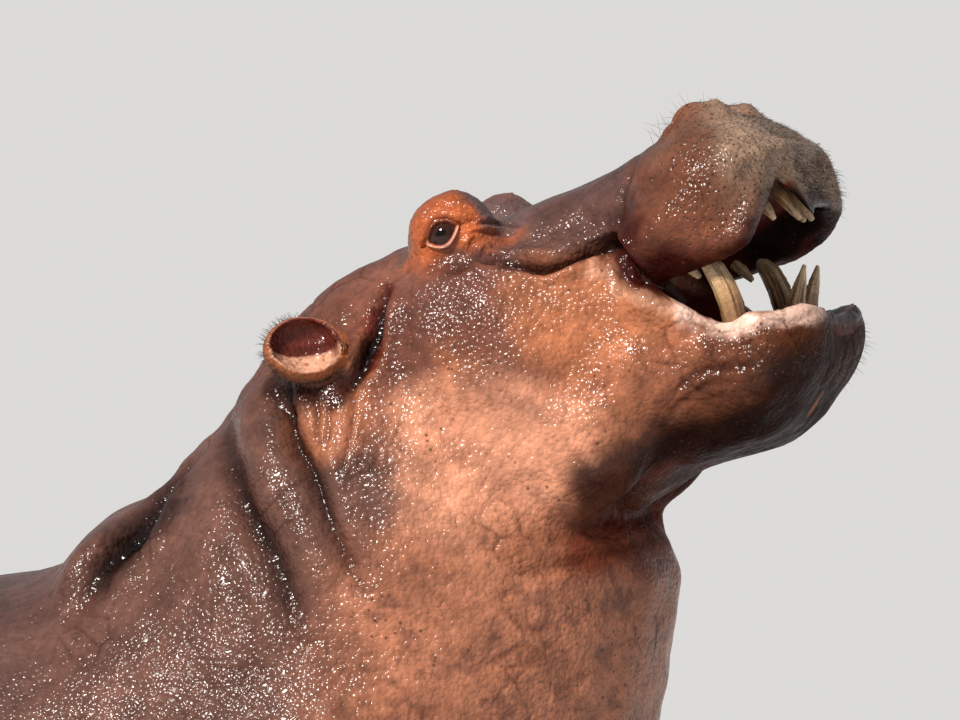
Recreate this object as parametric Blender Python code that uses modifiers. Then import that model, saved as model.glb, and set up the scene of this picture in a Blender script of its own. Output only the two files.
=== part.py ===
"""A life-size hippopotamus, standing on four feet with its head raised and its mouth half open.

Metres, +X towards the nose, +Y to the animal's left, +Z up, soles on z = 0. The flesh is modelled whole:
lofted masses are blended by voxel remeshing, and the result is parted with thin cuts into trunk, neck,
head, lower jaw and legs. Eyes, ears, teeth, tongue, toenails and tail are pieces bedded into it.
"""

import math

import bmesh
import bpy
from mathutils import Matrix, Vector

# ---------------------------------------------------------------- driving dimensions

EYE_HEIGHT = 1.74  # of the point between the eyes, which is the head frame's origin
EYE_X = 0.98
HEAD_PITCH = math.radians(30)  # nose up
HEAD_ROLL = math.radians(-5)  # left side down
JAW_HINGE = Vector((-0.14, 0, -0.12))  # in the head frame
JAW_OPEN = math.radians(12.5)
EYE_RADIUS = 0.025
EYE_PLACE = (0.005, 0.146, -0.003)  # in the head frame, left side
CUT = 0.0008  # thickness of the cuts that part the flesh
FIT = 0.0007  # gap round a piece bedded in another
SMOOTH_SHARE = 0.5  # how far one smoothing pass moves a vertex to its neighbours' mean
FLESH_TRIANGLES = 2550
FINENESS = 0.0002  # how much more the head keeps of its shape when the flesh is simplified
HEAD_REACH = 0.50  # of the head, from the point between the eyes
HEAD_WEIGHT = 0.5  # of the head in the simplifying, against 1 elsewhere
BODY_VOXEL = 0.018
HEAD_VOXEL = 0.010
LIP_RADIUS = 0.021
CHEEK_TEETH = 4  # in each row

HEAD = (
    Matrix.Translation((EYE_X, 0, EYE_HEIGHT))
    @ Matrix.Rotation(-HEAD_PITCH, 4, "Y")
    @ Matrix.Rotation(HEAD_ROLL, 4, "X")
)
JAW = (
    HEAD
    @ Matrix.Translation(JAW_HINGE)
    @ Matrix.Rotation(JAW_OPEN, 4, "Y")
    @ Matrix.Translation(-JAW_HINGE)
)
WORLD = Matrix.Identity(4)
SIDES = {"right": -1, "left": 1}

# ---------------------------------------------------------------- section tables
# A rib is a cross-section: its top and bottom points in the frame's XZ plane, its half width, how much
# wider it is below than above, and its superellipse power (2 is an ellipse, more is squarer).

TRUNK_RIBS = [
    (-1.06, 0.90, -1.03, 0.73, 0.10, 0.00, 2.0),
    (-1.01, 1.05, -0.97, 0.57, 0.26, 0.00, 2.1),
    (-0.88, 1.17, -0.84, 0.45, 0.37, 0.03, 2.2),
    (-0.63, 1.25, -0.61, 0.385, 0.445, 0.06, 2.2),
    (-0.30, 1.285, -0.30, 0.34, 0.49, 0.10, 2.2),
    (0.03, 1.285, 0.05, 0.325, 0.505, 0.12, 2.2),
    (0.29, 1.275, 0.38, 0.35, 0.495, 0.10, 2.2),
    (0.43, 1.30, 0.70, 0.40, 0.45, 0.06, 2.2),
    (0.53, 1.36, 0.96, 0.51, 0.41, 0.00, 2.2),
    (0.595, 1.43, 1.12, 0.74, 0.365, 0.00, 2.2),
    (0.66, 1.51, 1.20, 0.98, 0.325, -0.05, 2.2),
    (0.715, 1.59, 1.245, 1.21, 0.280, -0.12, 2.2),
    (0.78, 1.66, 1.245, 1.34, 0.225, -0.12, 2.2),
    (0.86, 1.71, 1.10, 1.42, 0.18, 0.00, 2.2),
]
SKULL_RIBS = [
    (-0.33, -0.06, -0.28, -0.28, 0.15, 0.00, 2.2),
    (-0.27, 0.010, -0.24, -0.33, 0.185, 0.05, 2.3),
    (-0.18, 0.038, -0.17, -0.36, 0.200, 0.10, 2.4),
    (-0.08, 0.032, -0.08, -0.35, 0.195, 0.15, 2.4),
    (0.00, 0.014, 0.00, -0.30, 0.172, 0.18, 2.4),
    (0.09, -0.004, 0.09, -0.215, 0.138, 0.10, 2.4),
    (0.17, -0.016, 0.17, -0.175, 0.120, 0.05, 2.5),
    (0.23, -0.020, 0.23, -0.190, 0.140, 0.05, 2.5),
    (0.29, -0.020, 0.285, -0.208, 0.175, 0.03, 2.5),
    (0.35, -0.020, 0.345, -0.212, 0.190, 0.00, 2.5),
    (0.398, -0.038, 0.400, -0.212, 0.184, 0.00, 2.5),
    (0.430, -0.072, 0.436, -0.194, 0.152, 0.00, 2.4),
    (0.450, -0.112, 0.455, -0.172, 0.102, 0.00, 2.2),
]
JAW_RIBS = [
    (-0.16, -0.12, -0.14, -0.34, 0.17, 0.00, 2.2),
    (-0.10, -0.10, -0.09, -0.39, 0.20, 0.05, 2.3),
    (0.00, -0.10, 0.00, -0.40, 0.205, 0.00, 2.4),
    (0.10, -0.12, 0.09, -0.375, 0.185, 0.00, 2.4),
    (0.19, -0.135, 0.17, -0.352, 0.165, 0.00, 2.5),
    (0.27, -0.150, 0.24, -0.350, 0.168, -0.05, 2.7),
    (0.33, -0.170, 0.29, -0.350, 0.178, -0.05, 2.8),
    (0.372, -0.190, 0.330, -0.335, 0.178, -0.05, 2.8),
    (0.410, -0.186, 0.374, -0.302, 0.162, 0.00, 2.6),
    (0.430, -0.202, 0.413, -0.262, 0.128, 0.00, 2.4),
]
FORELEG_RIBS = [
    (1.03, 0.90, 0.66, 0.90, 0.135, 0, 2.2),
    (1.03, 0.66, 0.69, 0.66, 0.145, 0, 2.2),
    (1.005, 0.46, 0.72, 0.46, 0.135, 0, 2.2),
    (0.975, 0.30, 0.75, 0.30, 0.113, 0, 2.2),
    (0.955, 0.17, 0.77, 0.17, 0.097, 0, 2.2),
    (0.960, 0.08, 0.765, 0.08, 0.106, 0, 2.2),
    (0.965, 0.03, 0.755, 0.02, 0.118, 0, 2.3),
    (0.955, -0.03, 0.765, -0.03, 0.112, 0, 2.3),
]
HINDLEG_RIBS = [
    (-0.48, 0.92, -0.91, 0.86, 0.165, 0, 2.2),
    (-0.50, 0.66, -0.89, 0.66, 0.165, 0, 2.2),
    (-0.55, 0.45, -0.865, 0.48, 0.132, 0, 2.2),
    (-0.61, 0.31, -0.835, 0.34, 0.104, 0, 2.2),
    (-0.625, 0.18, -0.80, 0.19, 0.090, 0, 2.2),
    (-0.615, 0.09, -0.805, 0.09, 0.099, 0, 2.2),
    (-0.605, 0.03, -0.810, 0.02, 0.110, 0, 2.3),
    (-0.615, -0.03, -0.800, -0.03, 0.104, 0, 2.3),
]
UPPER_MOUTH_RIBS = [
    (0.03, -0.17, 0.03, -0.21, 0.06, 0, 2.2),
    (0.09, -0.150, 0.09, -0.26, 0.105, 0, 2.4),
    (0.18, -0.142, 0.18, -0.30, 0.112, 0, 2.5),
    (0.27, -0.142, 0.27, -0.34, 0.142, 0, 2.6),
    (0.34, -0.140, 0.34, -0.34, 0.148, 0, 2.6),
    (0.395, -0.132, 0.395, -0.34, 0.125, 0, 2.5),
    (0.422, -0.134, 0.422, -0.34, 0.085, 0, 2.3),
]
LOWER_MOUTH_RIBS = [
    (0.05, -0.13, 0.05, -0.21, 0.06, 0, 2.2),
    (0.12, -0.10, 0.12, -0.245, 0.105, 0, 2.4),
    (0.22, -0.08, 0.22, -0.255, 0.108, 0, 2.5),
    (0.32, -0.08, 0.32, -0.255, 0.112, 0, 2.5),
    (0.38, -0.10, 0.37, -0.250, 0.108, 0, 2.5),
    (0.415, -0.14, 0.40, -0.235, 0.080, 0, 2.3),
]

# Round masses that fill out the lofts: middle, radii, and tilt in degrees about X, Y and Z.
WITHERS_ROLL = ((0.510, 0, 1.30), (0.062, 0.25, 0.105), (0, 35, 0))
SHOULDER = ((0.80, 0.28, 0.88), (0.24, 0.17, 0.34), (0, 12, 0))
HAUNCH = ((-0.68, 0.28, 0.80), (0.30, 0.20, 0.33), (0, -10, 0))
SKULL_MASSES = [
    ((0.008, 0.122, 0.004), (0.064, 0.048, 0.056), (0, 0, 0)),  # brow and orbit
    ((-0.04, 0.143, -0.19), (0.155, 0.072, 0.165), (0, 0, 0)),  # cheek muscle
    ((0.085, 0.128, -0.165), (0.110, 0.052, 0.085), (0, 25, 0)),  # corner of the mouth
    ((0.290, 0.148, -0.148), (0.095, 0.050, 0.060), (0, 0, 0)),  # upper lip over the tusk
    ((0.360, 0.075, -0.034), (0.050, 0.038, 0.030), (0, 0, 0)),  # nostril
]
JAW_MASSES = [
    ((0.225, 0.148, -0.150), (0.060, 0.034, 0.036), (0, 30, 0)),  # cheek's edge
    ((0.04, 0.138, -0.27), (0.150, 0.066, 0.110), (0, 0, 0)),  # flare of the jaw's angle
    ((0.15, 0.122, -0.215), (0.120, 0.062, 0.085), (0, 0, 0)),  # lower cheek
]

LEG_RIBS = {"foreleg": FORELEG_RIBS, "hindleg": HINDLEG_RIBS}
LEG_TRACK = 0.275  # from the middle plane to the middle of a leg
LEG_ROOT_HEIGHT = 0.85
STRIDES = {  # how far ahead of its root each foot stands
    ("foreleg", "right"): 0.05,
    ("foreleg", "left"): -0.05,
    ("hindleg", "right"): -0.06,
    ("hindleg", "left"): 0.06,
}
FEET = {"foreleg": (0.86, 0.105, 0.112), "hindleg": (-0.725, 0.100, 0.102)}  # middle, reach, half width
TOES = 4  # on each foot
TOE_SPREAD = math.radians(36)  # from each toe to the next
TOE_RADII = (0.056, 0.036, 0.046)
TOE_HEIGHT = 0.034
TOE_SLOPE = 12  # degrees, down to the front
NAIL_RADII = (0.017, 0.026, 0.026)
NAIL_AHEAD = 0.047  # of its toe's middle
NAIL_HEIGHT = 0.031
NAIL_SLOPE = -18  # degrees, leaning back

# Lip lines on the left side, from behind forwards, as points of their own frame.
UPPER_LIP = [
    (0.240, 0.150, -0.172),
    (0.290, 0.165, -0.190),
    (0.340, 0.170, -0.199),
    (0.382, 0.163, -0.195),
    (0.414, 0.130, -0.184),
    (0.432, 0.080, -0.164),
    (0.438, 0.000, -0.150),
]
LOWER_LIP = [
    (0.330, 0.162, -0.197),
    (0.365, 0.155, -0.209),
    (0.395, 0.130, -0.208),
    (0.412, 0.085, -0.204),
    (0.417, 0.000, -0.201),
]

# ---------------------------------------------------------------- regions, pieces and looks

NECK_REGION = [(0.246, 1.377), (1.292, 0.758), (1.90, 0.758), (1.90, 2.30), (0.246, 2.30)]
HEAD_REGION = [(-0.394, 0.184), (0.106, -0.543), (0.80, -0.543), (0.80, 0.184)]
JAW_REGION = [
    (-0.60, -0.08),
    (-0.14, -0.12),
    (0.04, -0.185),
    (0.235, -0.212),
    (0.30, -0.245),
    (0.60, -0.30),
    (0.60, -0.90),
    (-0.60, -0.90),
]
MOUTH_CORNER = [  # the gape behind the lips, between the upper lip's hem and the cheek's edge
    (0.203, -0.183),
    (0.250, -0.199),
    (0.300, -0.217),
    (0.340, -0.222),
    (0.340, -0.268),
    (0.300, -0.262),
    (0.246, -0.247),
    (0.228, -0.220),
]
LEG_REGION_INNER = 0.09  # from the middle plane
LEG_REGION_OUTER = 0.80
LEG_REGION_TOP = 0.52
LEG_REACH = 0.19  # fore and aft of the leg's middle
LEG_REGION_STRIDE = 0.7  # of the foot's stride, at the height where the region parts the leg
REGION_HALF_WIDTH = 1.0

EAR_BASE = (-0.168, 0.194, -0.074)
EAR_ALONG = (-0.092, 0.072, 0.044)
EAR_OUTWARD = (0.47, 0.99, 0.25)
EAR_CUP = ((0.060, 0, 0), (0.056, 0.047, 0.030))  # middle and radii, in the ear's frame
EAR_STALK = ((0.000, 0, -0.004), (0.038, 0.024, 0.020))
EAR_HOLLOW = ((0.064, 0, 0.018), (0.043, 0.035, 0.030))
EAR_VOXEL = 0.004
EAR_TRIANGLES = 220
TONGUE = ((0.205, 0, -0.235), (0.145, 0.072, 0.034))  # middle and radii, in the jaw frame
UPPER_GUM = -0.144
UPPER_CROWN = -0.030  # how far the cheek teeth stand over the gum
LOWER_GUM = -0.245
LOWER_CROWN = 0.034
CHEEK_ROW_START = 0.10  # along its jaw
CHEEK_ROW_OFFSET = 0.088  # from the middle plane
CHEEK_RIDGE_STEP = 0.018  # from a ridge to the dip next to it
CHEEK_DIP = 0.72  # of a ridge's height and width
CHEEK_TOOTH_HALF_WIDTH = 0.015
TAIL_RADII = [0.052, 0.045, 0.036, 0.028, 0.022, 0.013]
TAIL_LINE = [
    (-0.98, 0.0, 0.97),
    (-1.07, 0.0, 0.92),
    (-1.115, 0.0, 0.83),
    (-1.125, 0.0, 0.73),
    (-1.118, 0.005, 0.64),
    (-1.11, 0.01, 0.58),
]
TEETH = [
    (
        "lower_canine",
        [(0.312, 0.130, -0.232), (0.319, 0.135, -0.170), (0.311, 0.139, -0.120), (0.292, 0.141, -0.088)],
        [0.0175, 0.017, 0.015, 0.003],
        JAW,
        "lower_jaw head",
    ),
    (
        "upper_canine",
        [(0.250, 0.124, -0.115), (0.262, 0.128, -0.165), (0.276, 0.131, -0.216)],
        [0.0150, 0.0145, 0.004],
        HEAD,
        "head",
    ),
    (
        "lower_incisor_inner",
        [(0.340, 0.034, -0.262), (0.368, 0.034, -0.200), (0.402, 0.034, -0.138)],
        [0.0165, 0.0155, 0.003],
        JAW,
        "lower_jaw",
    ),
    (
        "lower_incisor_outer",
        [(0.335, 0.078, -0.262), (0.350, 0.080, -0.220), (0.364, 0.082, -0.188)],
        [0.0110, 0.0100, 0.003],
        JAW,
        "lower_jaw",
    ),
    (
        "upper_incisor_inner",
        [(0.390, 0.032, -0.125), (0.402, 0.032, -0.165), (0.408, 0.032, -0.200)],
        [0.0110, 0.0105, 0.004],
        HEAD,
        "head",
    ),
    (
        "upper_incisor_outer",
        [(0.370, 0.075, -0.125), (0.382, 0.076, -0.160), (0.388, 0.077, -0.190)],
        [0.0100, 0.0095, 0.004],
        HEAD,
        "head",
    ),
]
LOOKS = {  # colour and roughness by the first of these words that a name holds
    "eye": ((0.030, 0.012, 0.010), 0.1),
    "ear_": ((0.420, 0.170, 0.090), 0.5),
    "nail": ((0.110, 0.070, 0.050), 0.5),
    "teeth": ((0.480, 0.330, 0.190), 0.35),
    "canine": ((0.450, 0.270, 0.140), 0.35),
    "incisor": ((0.450, 0.270, 0.140), 0.35),
    "tongue": ((0.350, 0.070, 0.060), 0.4),
    "head": ((0.250, 0.110, 0.070), 0.45),
    "lower_jaw": ((0.220, 0.090, 0.055), 0.45),
    "": ((0.150, 0.075, 0.055), 0.5),
}

# ---------------------------------------------------------------- building blocks


def clear_scene():
    """Removes what the startup scene holds."""
    for obj in list(bpy.data.objects):
        bpy.data.objects.remove(obj)


def collection(name, hidden=False):
    """A collection of the scene. A hidden one holds cutters and stays out of renders."""
    made = bpy.data.collections.new(name)
    made.hide_render = hidden
    bpy.context.scene.collection.children.link(made)
    return made


def material(name, colour, roughness):
    """A plain Principled finish."""
    made = bpy.data.materials.new(name)
    made.use_nodes = True
    shader = made.node_tree.nodes["Principled BSDF"]
    shader.inputs["Base Color"].default_value = (*colour, 1)
    shader.inputs["Roughness"].default_value = roughness
    shader.inputs["Metallic"].default_value = 0
    return made


def object_of(name, bm, frame=WORLD):
    """A mesh object from a bmesh, with the frame taken into its vertices."""
    bmesh.ops.transform(bm, matrix=frame, verts=bm.verts)
    bmesh.ops.recalc_face_normals(bm, faces=bm.faces)
    mesh = bpy.data.meshes.new(name)
    bm.to_mesh(mesh)
    bm.free()
    obj = bpy.data.objects.new(name, mesh)
    WORKSHOP.objects.link(obj)
    return obj


def power_curve(value, power):
    """A cosine or sine turned into its superellipse coordinate."""
    return math.copysign(abs(value) ** (2 / power), value)


def ring_of(rib, count):
    """The points round one rib."""
    top_x, top_z, bottom_x, bottom_z, half, lean, power = rib
    top, bottom = Vector((top_x, 0, top_z)), Vector((bottom_x, 0, bottom_z))
    middle, arm = (top + bottom) / 2, (top - bottom) / 2
    points = []
    for i in range(count):
        turn = math.tau * i / count
        up = power_curve(math.sin(turn), power)
        across = power_curve(math.cos(turn), power) * half * (1 - lean * up)
        points.append(middle + arm * up + Vector((0, across, 0)))
    return points


def between(ribs, steps):
    """The ribs with Catmull-Rom ribs put between them."""
    padded = [ribs[0], *ribs, ribs[-1]]
    made = []
    for i in range(1, len(padded) - 2):
        four = padded[i - 1 : i + 3]
        for k in range(steps):
            t = k / steps
            weights = (
                (-t + 2 * t**2 - t**3) / 2,
                (2 - 5 * t**2 + 3 * t**3) / 2,
                (t + 4 * t**2 - 3 * t**3) / 2,
                (t**3 - t**2) / 2,
            )
            made.append([sum(w * rib[n] for w, rib in zip(weights, four)) for n in range(7)])
    return [*made, ribs[-1]]


def loft(name, ribs, frame=WORLD, count=32, steps=4):
    """A closed body through the ribs."""
    bm = bmesh.new()
    rings = [[bm.verts.new(p) for p in ring_of(rib, count)] for rib in between(ribs, steps)]
    for one, two in zip(rings, rings[1:]):
        for i in range(count):
            j = (i + 1) % count
            bm.faces.new((one[i], one[j], two[j], two[i]))
    bm.faces.new(rings[0])
    bm.faces.new(rings[-1])
    return object_of(name, bm, frame)


def ball(name, centre, radii, frame=WORLD, tilt=(0, 0, 0), fineness=24):
    """An ellipsoid, tilted by angles in degrees about X, Y and Z."""
    bm = bmesh.new()
    bmesh.ops.create_uvsphere(bm, u_segments=fineness, v_segments=fineness // 2, radius=1)
    turn = Matrix.Identity(4)
    for angle, axis in zip(tilt, "XYZ"):
        turn = Matrix.Rotation(math.radians(angle), 4, axis) @ turn
    place = Matrix.Translation(centre) @ turn @ Matrix.Diagonal((*radii, 1))
    return object_of(name, bm, frame @ place)


def both_sides(line):
    """A left-hand line that ends on the middle plane, carried on over the right side."""
    return line + [(x, -y, z) for x, y, z in reversed(line[:-1])]


def tube(name, points, radii, frame=WORLD, resolution=2):
    """A smooth round bar along the points. Its radii are spread evenly from end to end."""
    data = bpy.data.curves.new(name, "CURVE")
    data.dimensions = "3D"
    data.bevel_depth = 1
    data.bevel_resolution = resolution
    data.use_fill_caps = True
    spline = data.splines.new("POLY")
    path = [point[:3] for point in between([(*p, 0, 0, 0, 0) for p in points], 2)]
    spline.points.add(len(path) - 1)
    for i, point in enumerate(path):
        place = i / (len(path) - 1) * (len(radii) - 1)
        low = min(int(place), len(radii) - 2) if len(radii) > 1 else 0
        high = min(low + 1, len(radii) - 1)
        spline.points[i].co = (*point, 1)
        spline.points[i].radius = radii[low] + (radii[high] - radii[low]) * (place - low)
    curve = bpy.data.objects.new(name, data)
    WORKSHOP.objects.link(curve)
    bm = bmesh.new()
    bm.from_mesh(evaluated_mesh(curve))
    bmesh.ops.remove_doubles(bm, verts=bm.verts, dist=0.00005)
    bpy.data.objects.remove(curve)
    return object_of(name, bm, frame)


def evaluated_mesh(obj):
    """A new mesh with the object's modifiers applied."""
    bpy.context.view_layer.update()
    graph = bpy.context.evaluated_depsgraph_get()
    return bpy.data.meshes.new_from_object(obj.evaluated_get(graph))


def apply_modifiers(obj):
    """Takes the modifiers into the object's mesh."""
    mesh = evaluated_mesh(obj)
    obj.modifiers.clear()
    obj.data = mesh


def joined(name, objects):
    """One object holding the meshes of all of them, which are removed."""
    bm = bmesh.new()
    for obj in objects:
        bm.from_mesh(obj.data)
        bpy.data.objects.remove(obj)
    return object_of(name, bm)


def blended(name, objects, voxel, passes):
    """The masses made one skin by voxel remeshing, then smoothed so that they flow into each other."""
    obj = joined(name, objects)
    remesh = obj.modifiers.new("one_skin", "REMESH")
    remesh.mode = "VOXEL"
    remesh.voxel_size = voxel
    soften = obj.modifiers.new("soften", "SMOOTH")
    soften.factor = SMOOTH_SHARE
    soften.iterations = passes
    apply_modifiers(obj)
    return obj


def boolean(obj, cutter, operation="DIFFERENCE"):
    """Applies an exact Boolean with the cutter."""
    modifier = obj.modifiers.new("boolean", "BOOLEAN")
    modifier.operation = operation
    modifier.object = cutter
    modifier.solver = "EXACT"
    apply_modifiers(obj)


def reduce_to(obj, triangles, group=""):
    """Decimates the object, keeping its shape, and keeping more of it where its group is weak."""
    obj.data.calc_loop_triangles()
    decimate = obj.modifiers.new("reduce", "DECIMATE")
    decimate.ratio = triangles / len(obj.data.loop_triangles)
    decimate.vertex_group = group
    decimate.vertex_group_factor = FINENESS
    apply_modifiers(obj)


def weigh_head(obj):
    """A group in which the head weighs less than the rest, so that more of it is kept."""
    group = obj.vertex_groups.new(name="coarseness")
    to_head = HEAD.inverted()
    for vertex in obj.data.vertices:
        near = (to_head @ vertex.co).length < HEAD_REACH
        group.add([vertex.index], HEAD_WEIGHT if near else 1, "REPLACE")
    return group.name


def block(name, low, high):
    """A box between two corners."""
    bm = bmesh.new()
    bmesh.ops.create_cube(bm, size=1)
    low, high = Vector(low), Vector(high)
    place = Matrix.Translation((low + high) / 2) @ Matrix.Diagonal((*(high - low), 1))
    return object_of(name, bm, place)


def swollen(obj, amount):
    """A copy of a piece grown by amount, as a cutter for the bed that it lies in."""
    copy = obj.copy()
    copy.data = obj.data.copy()
    copy.name = obj.name + "_bed"
    WORKSHOP.objects.link(copy)
    grow = copy.modifiers.new("grow", "DISPLACE")
    grow.strength = amount
    grow.mid_level = 0
    apply_modifiers(copy)
    return copy


def drop_crumbs(obj):
    """Keeps the largest island of the mesh, without the crumbs that a cut may leave."""
    bm = bmesh.new()
    bm.from_mesh(obj.data)
    islands = []
    unseen = set(bm.verts)
    while unseen:
        island = set()
        edge_of_island = {unseen.pop()}
        while edge_of_island:
            island |= edge_of_island
            unseen -= edge_of_island
            reached = {e.other_vert(v) for v in edge_of_island for e in v.link_edges}
            edge_of_island = reached & unseen
        islands.append(island)
    largest = max(islands, key=len)
    bmesh.ops.delete(bm, geom=[v for v in bm.verts if v not in largest], context="VERTS")
    bm.to_mesh(obj.data)
    bm.free()


def bed(piece, host):
    """Cuts the piece's bed out of its host, with the fit gap round it."""
    cutter = swollen(piece, FIT)
    boolean(host, cutter)
    drop_crumbs(host)
    bpy.data.objects.remove(cutter)


# ---------------------------------------------------------------- masses of flesh


def mirrored(point, side):
    """A left-hand point on the given side."""
    return (point[0], SIDES[side] * point[1], point[2])


def round_mass(mass, frame, side):
    """A round mass of a table, on the given side."""
    centre, radii, tilt = mass
    return ball("round_mass", mirrored(centre, side), radii, frame, tilt)


def body_masses():
    """Trunk, neck, shoulders and haunches."""
    masses = [loft("trunk_mass", TRUNK_RIBS, count=40)]
    masses.append(round_mass(WITHERS_ROLL, WORLD, "left"))
    for side in SIDES:
        masses.append(round_mass(SHOULDER, WORLD, side))
        masses.append(round_mass(HAUNCH, WORLD, side))
    return masses


def leg_frame(leg, side):
    """Sets a leg beside the middle plane, sheared so that its foot stands fore or aft of its root."""
    frame = Matrix.Translation((0, SIDES[side] * LEG_TRACK, 0))
    stride = STRIDES[leg, side]
    shear = Matrix.Identity(4)
    shear[0][2] = -stride / LEG_ROOT_HEIGHT
    shear[0][3] = stride
    return frame @ shear


def leg_masses():
    """The four legs with their toes."""
    masses = []
    for leg, side in STRIDES:
        frame = leg_frame(leg, side)
        masses.append(loft("leg", LEG_RIBS[leg], frame, count=28))
        for place, turn in toes(leg):
            tilt = (0, TOE_SLOPE, math.degrees(turn))
            masses.append(ball("toe", place, TOE_RADII, frame, tilt))
    return masses


def toes(leg):
    """The middle of each toe and the way it points, from the inner or outer edge to the other."""
    heel_x, reach, across = FEET[leg]
    made = []
    for i in range(TOES):
        turn = TOE_SPREAD * (i - (TOES - 1) / 2)
        made.append(((heel_x + reach * math.cos(turn), across * math.sin(turn), TOE_HEIGHT), turn))
    return made


def head_masses():
    """Skull with upper jaw, lower jaw, cheeks, brows and lips."""
    masses = [loft("skull", SKULL_RIBS, HEAD), loft("jaw", JAW_RIBS, JAW)]
    masses.append(tube("upper_lip", both_sides(UPPER_LIP), [LIP_RADIUS], HEAD))
    masses.append(tube("lower_lip", both_sides(LOWER_LIP), [LIP_RADIUS], JAW))
    for side in SIDES:
        masses += [round_mass(mass, HEAD, side) for mass in SKULL_MASSES]
        masses += [round_mass(mass, JAW, side) for mass in JAW_MASSES]
    return masses


def flesh():
    """The whole animal in one closed skin, with its mouth hollowed and its soles cut flat."""
    body = blended("body", body_masses() + leg_masses(), BODY_VOXEL, passes=8)
    whole = blended("whole", [body] + head_masses(), HEAD_VOXEL, passes=5)
    for ribs, frame in ((UPPER_MOUTH_RIBS, HEAD), (LOWER_MOUTH_RIBS, JAW)):
        boolean(whole, loft("mouth_void", ribs, frame))
    boolean(whole, prism("mouth_corner", MOUTH_CORNER, HEAD))
    reduce_to(whole, FLESH_TRIANGLES, weigh_head(whole))
    whole.vertex_groups.clear()
    boolean(whole, block("floor", (-2, -1, -0.5), (2, 1, 0)))
    return whole


# ---------------------------------------------------------------- parting the flesh


def prism(name, outline, frame=WORLD):
    """A region to part off: an outline in the frame's XZ plane, drawn out to both sides."""
    bm = bmesh.new()
    face = bm.faces.new([bm.verts.new((x, -REGION_HALF_WIDTH, z)) for x, z in outline])
    pulled = bmesh.ops.extrude_face_region(bm, geom=[face])
    moved = [v for v in pulled["geom"] if isinstance(v, bmesh.types.BMVert)]
    bmesh.ops.translate(bm, verts=moved, vec=(0, 2 * REGION_HALF_WIDTH, 0))
    return object_of(name, bm, frame)


def part_off(host, name, region):
    """Takes the flesh inside the region out of its host, leaving a thin cut between the two."""
    piece = host.copy()
    piece.data = host.data.copy()
    piece.name = name
    WORKSHOP.objects.link(piece)
    boolean(piece, region, "INTERSECT")
    boolean(host, swollen(region, CUT))
    return piece


def flesh_pieces():
    """The flesh, parted into its named regions."""
    trunk = flesh()
    trunk.name = "trunk"
    pieces = {"trunk": trunk}
    for name, host, region in (
        ("neck", "trunk", prism("ahead_of_shoulders", NECK_REGION)),
        ("head", "neck", prism("ahead_of_neck", HEAD_REGION, HEAD)),
        ("lower_jaw", "head", prism("below_bite", JAW_REGION, HEAD)),
    ):
        pieces[name] = part_off(pieces[host], name, region)
    for leg, side in STRIDES:
        x = FEET[leg][0] + STRIDES[leg, side] * LEG_REGION_STRIDE
        low, high = sorted((SIDES[side] * LEG_REGION_INNER, SIDES[side] * LEG_REGION_OUTER))
        root = block("leg_region", (x - LEG_REACH, low, -0.1), (x + LEG_REACH, high, LEG_REGION_TOP))
        pieces[f"{leg}_{side}"] = part_off(trunk, f"{leg}_{side}", root)
    return pieces


# ---------------------------------------------------------------- pieces bedded in the flesh


def frame_on(parent, origin, forward, outward):
    """A frame at a place of its parent, X along forward and Z as near to outward as it can be."""
    x = Vector(forward).normalized()
    y = Vector(outward).cross(x).normalized()
    z = x.cross(y)
    local = Matrix((x, y, z)).transposed().to_4x4()
    local.translation = origin
    return parent @ local


def ear(side):
    """A rounded cup on a short stalk, turned back and open to the outside."""
    base, along, outward = (mirrored(v, side) for v in (EAR_BASE, EAR_ALONG, EAR_OUTWARD))
    frame = frame_on(HEAD, base, along, outward)
    masses = [ball("cup", *EAR_CUP, frame), ball("stalk", *EAR_STALK, frame)]
    shape = blended(f"ear_{side}", masses, EAR_VOXEL, passes=4)
    boolean(shape, ball("hollow", *EAR_HOLLOW, frame))
    reduce_to(shape, EAR_TRIANGLES)
    return shape


def eye(side):
    """An eyeball."""
    return ball(f"eye_{side}", mirrored(EYE_PLACE, side), [EYE_RADIUS] * 3, HEAD, fineness=12)


def tongue():
    """The tongue, lying in the trough of the lower jaw."""
    return ball("tongue", *TONGUE, JAW, fineness=14)


def tooth(name, side, points, radii, frame):
    """A round tapering tooth along its left-hand points, from root to tip."""
    return tube(name, [mirrored(p, side) for p in points], radii, frame, resolution=1)


def cheek_teeth(name, side, gum, height, frame):
    """A row of grinding teeth as one ridged piece, from below the gum to the given height over it."""
    ribs = []
    for i in range(2 * CHEEK_TEETH + 1):
        x = CHEEK_ROW_START + CHEEK_RIDGE_STEP * i
        crown = 1 if i % 2 else CHEEK_DIP
        half_width = CHEEK_TOOTH_HALF_WIDTH * crown
        ribs.append((x, gum + height * crown, x, gum - height, half_width, 0, 2.8))
    place = Matrix.Translation((0, SIDES[side] * CHEEK_ROW_OFFSET, 0))
    return loft(name, ribs, frame @ place, count=8, steps=1)


def tail():
    """A short thick tail, hanging and flattened towards its tip."""
    return tube("tail", TAIL_LINE, TAIL_RADII, resolution=1)


def toenails(leg, side):
    """Four broad nails, one at the front of each toe."""
    nails = []
    for number, (place, turn) in enumerate(toes(leg), start=1):
        tip = Vector(place) + Vector((math.cos(turn), math.sin(turn), 0)) * NAIL_AHEAD
        nail = ball(
            f"{leg}_{side}_toenail_{number}",
            (*tip.xy, NAIL_HEIGHT),
            NAIL_RADII,
            leg_frame(leg, side),
            tilt=(0, NAIL_SLOPE, math.degrees(turn)),
            fineness=8,
        )
        nails.append((nail, f"{leg}_{side}"))
    return nails


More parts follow.
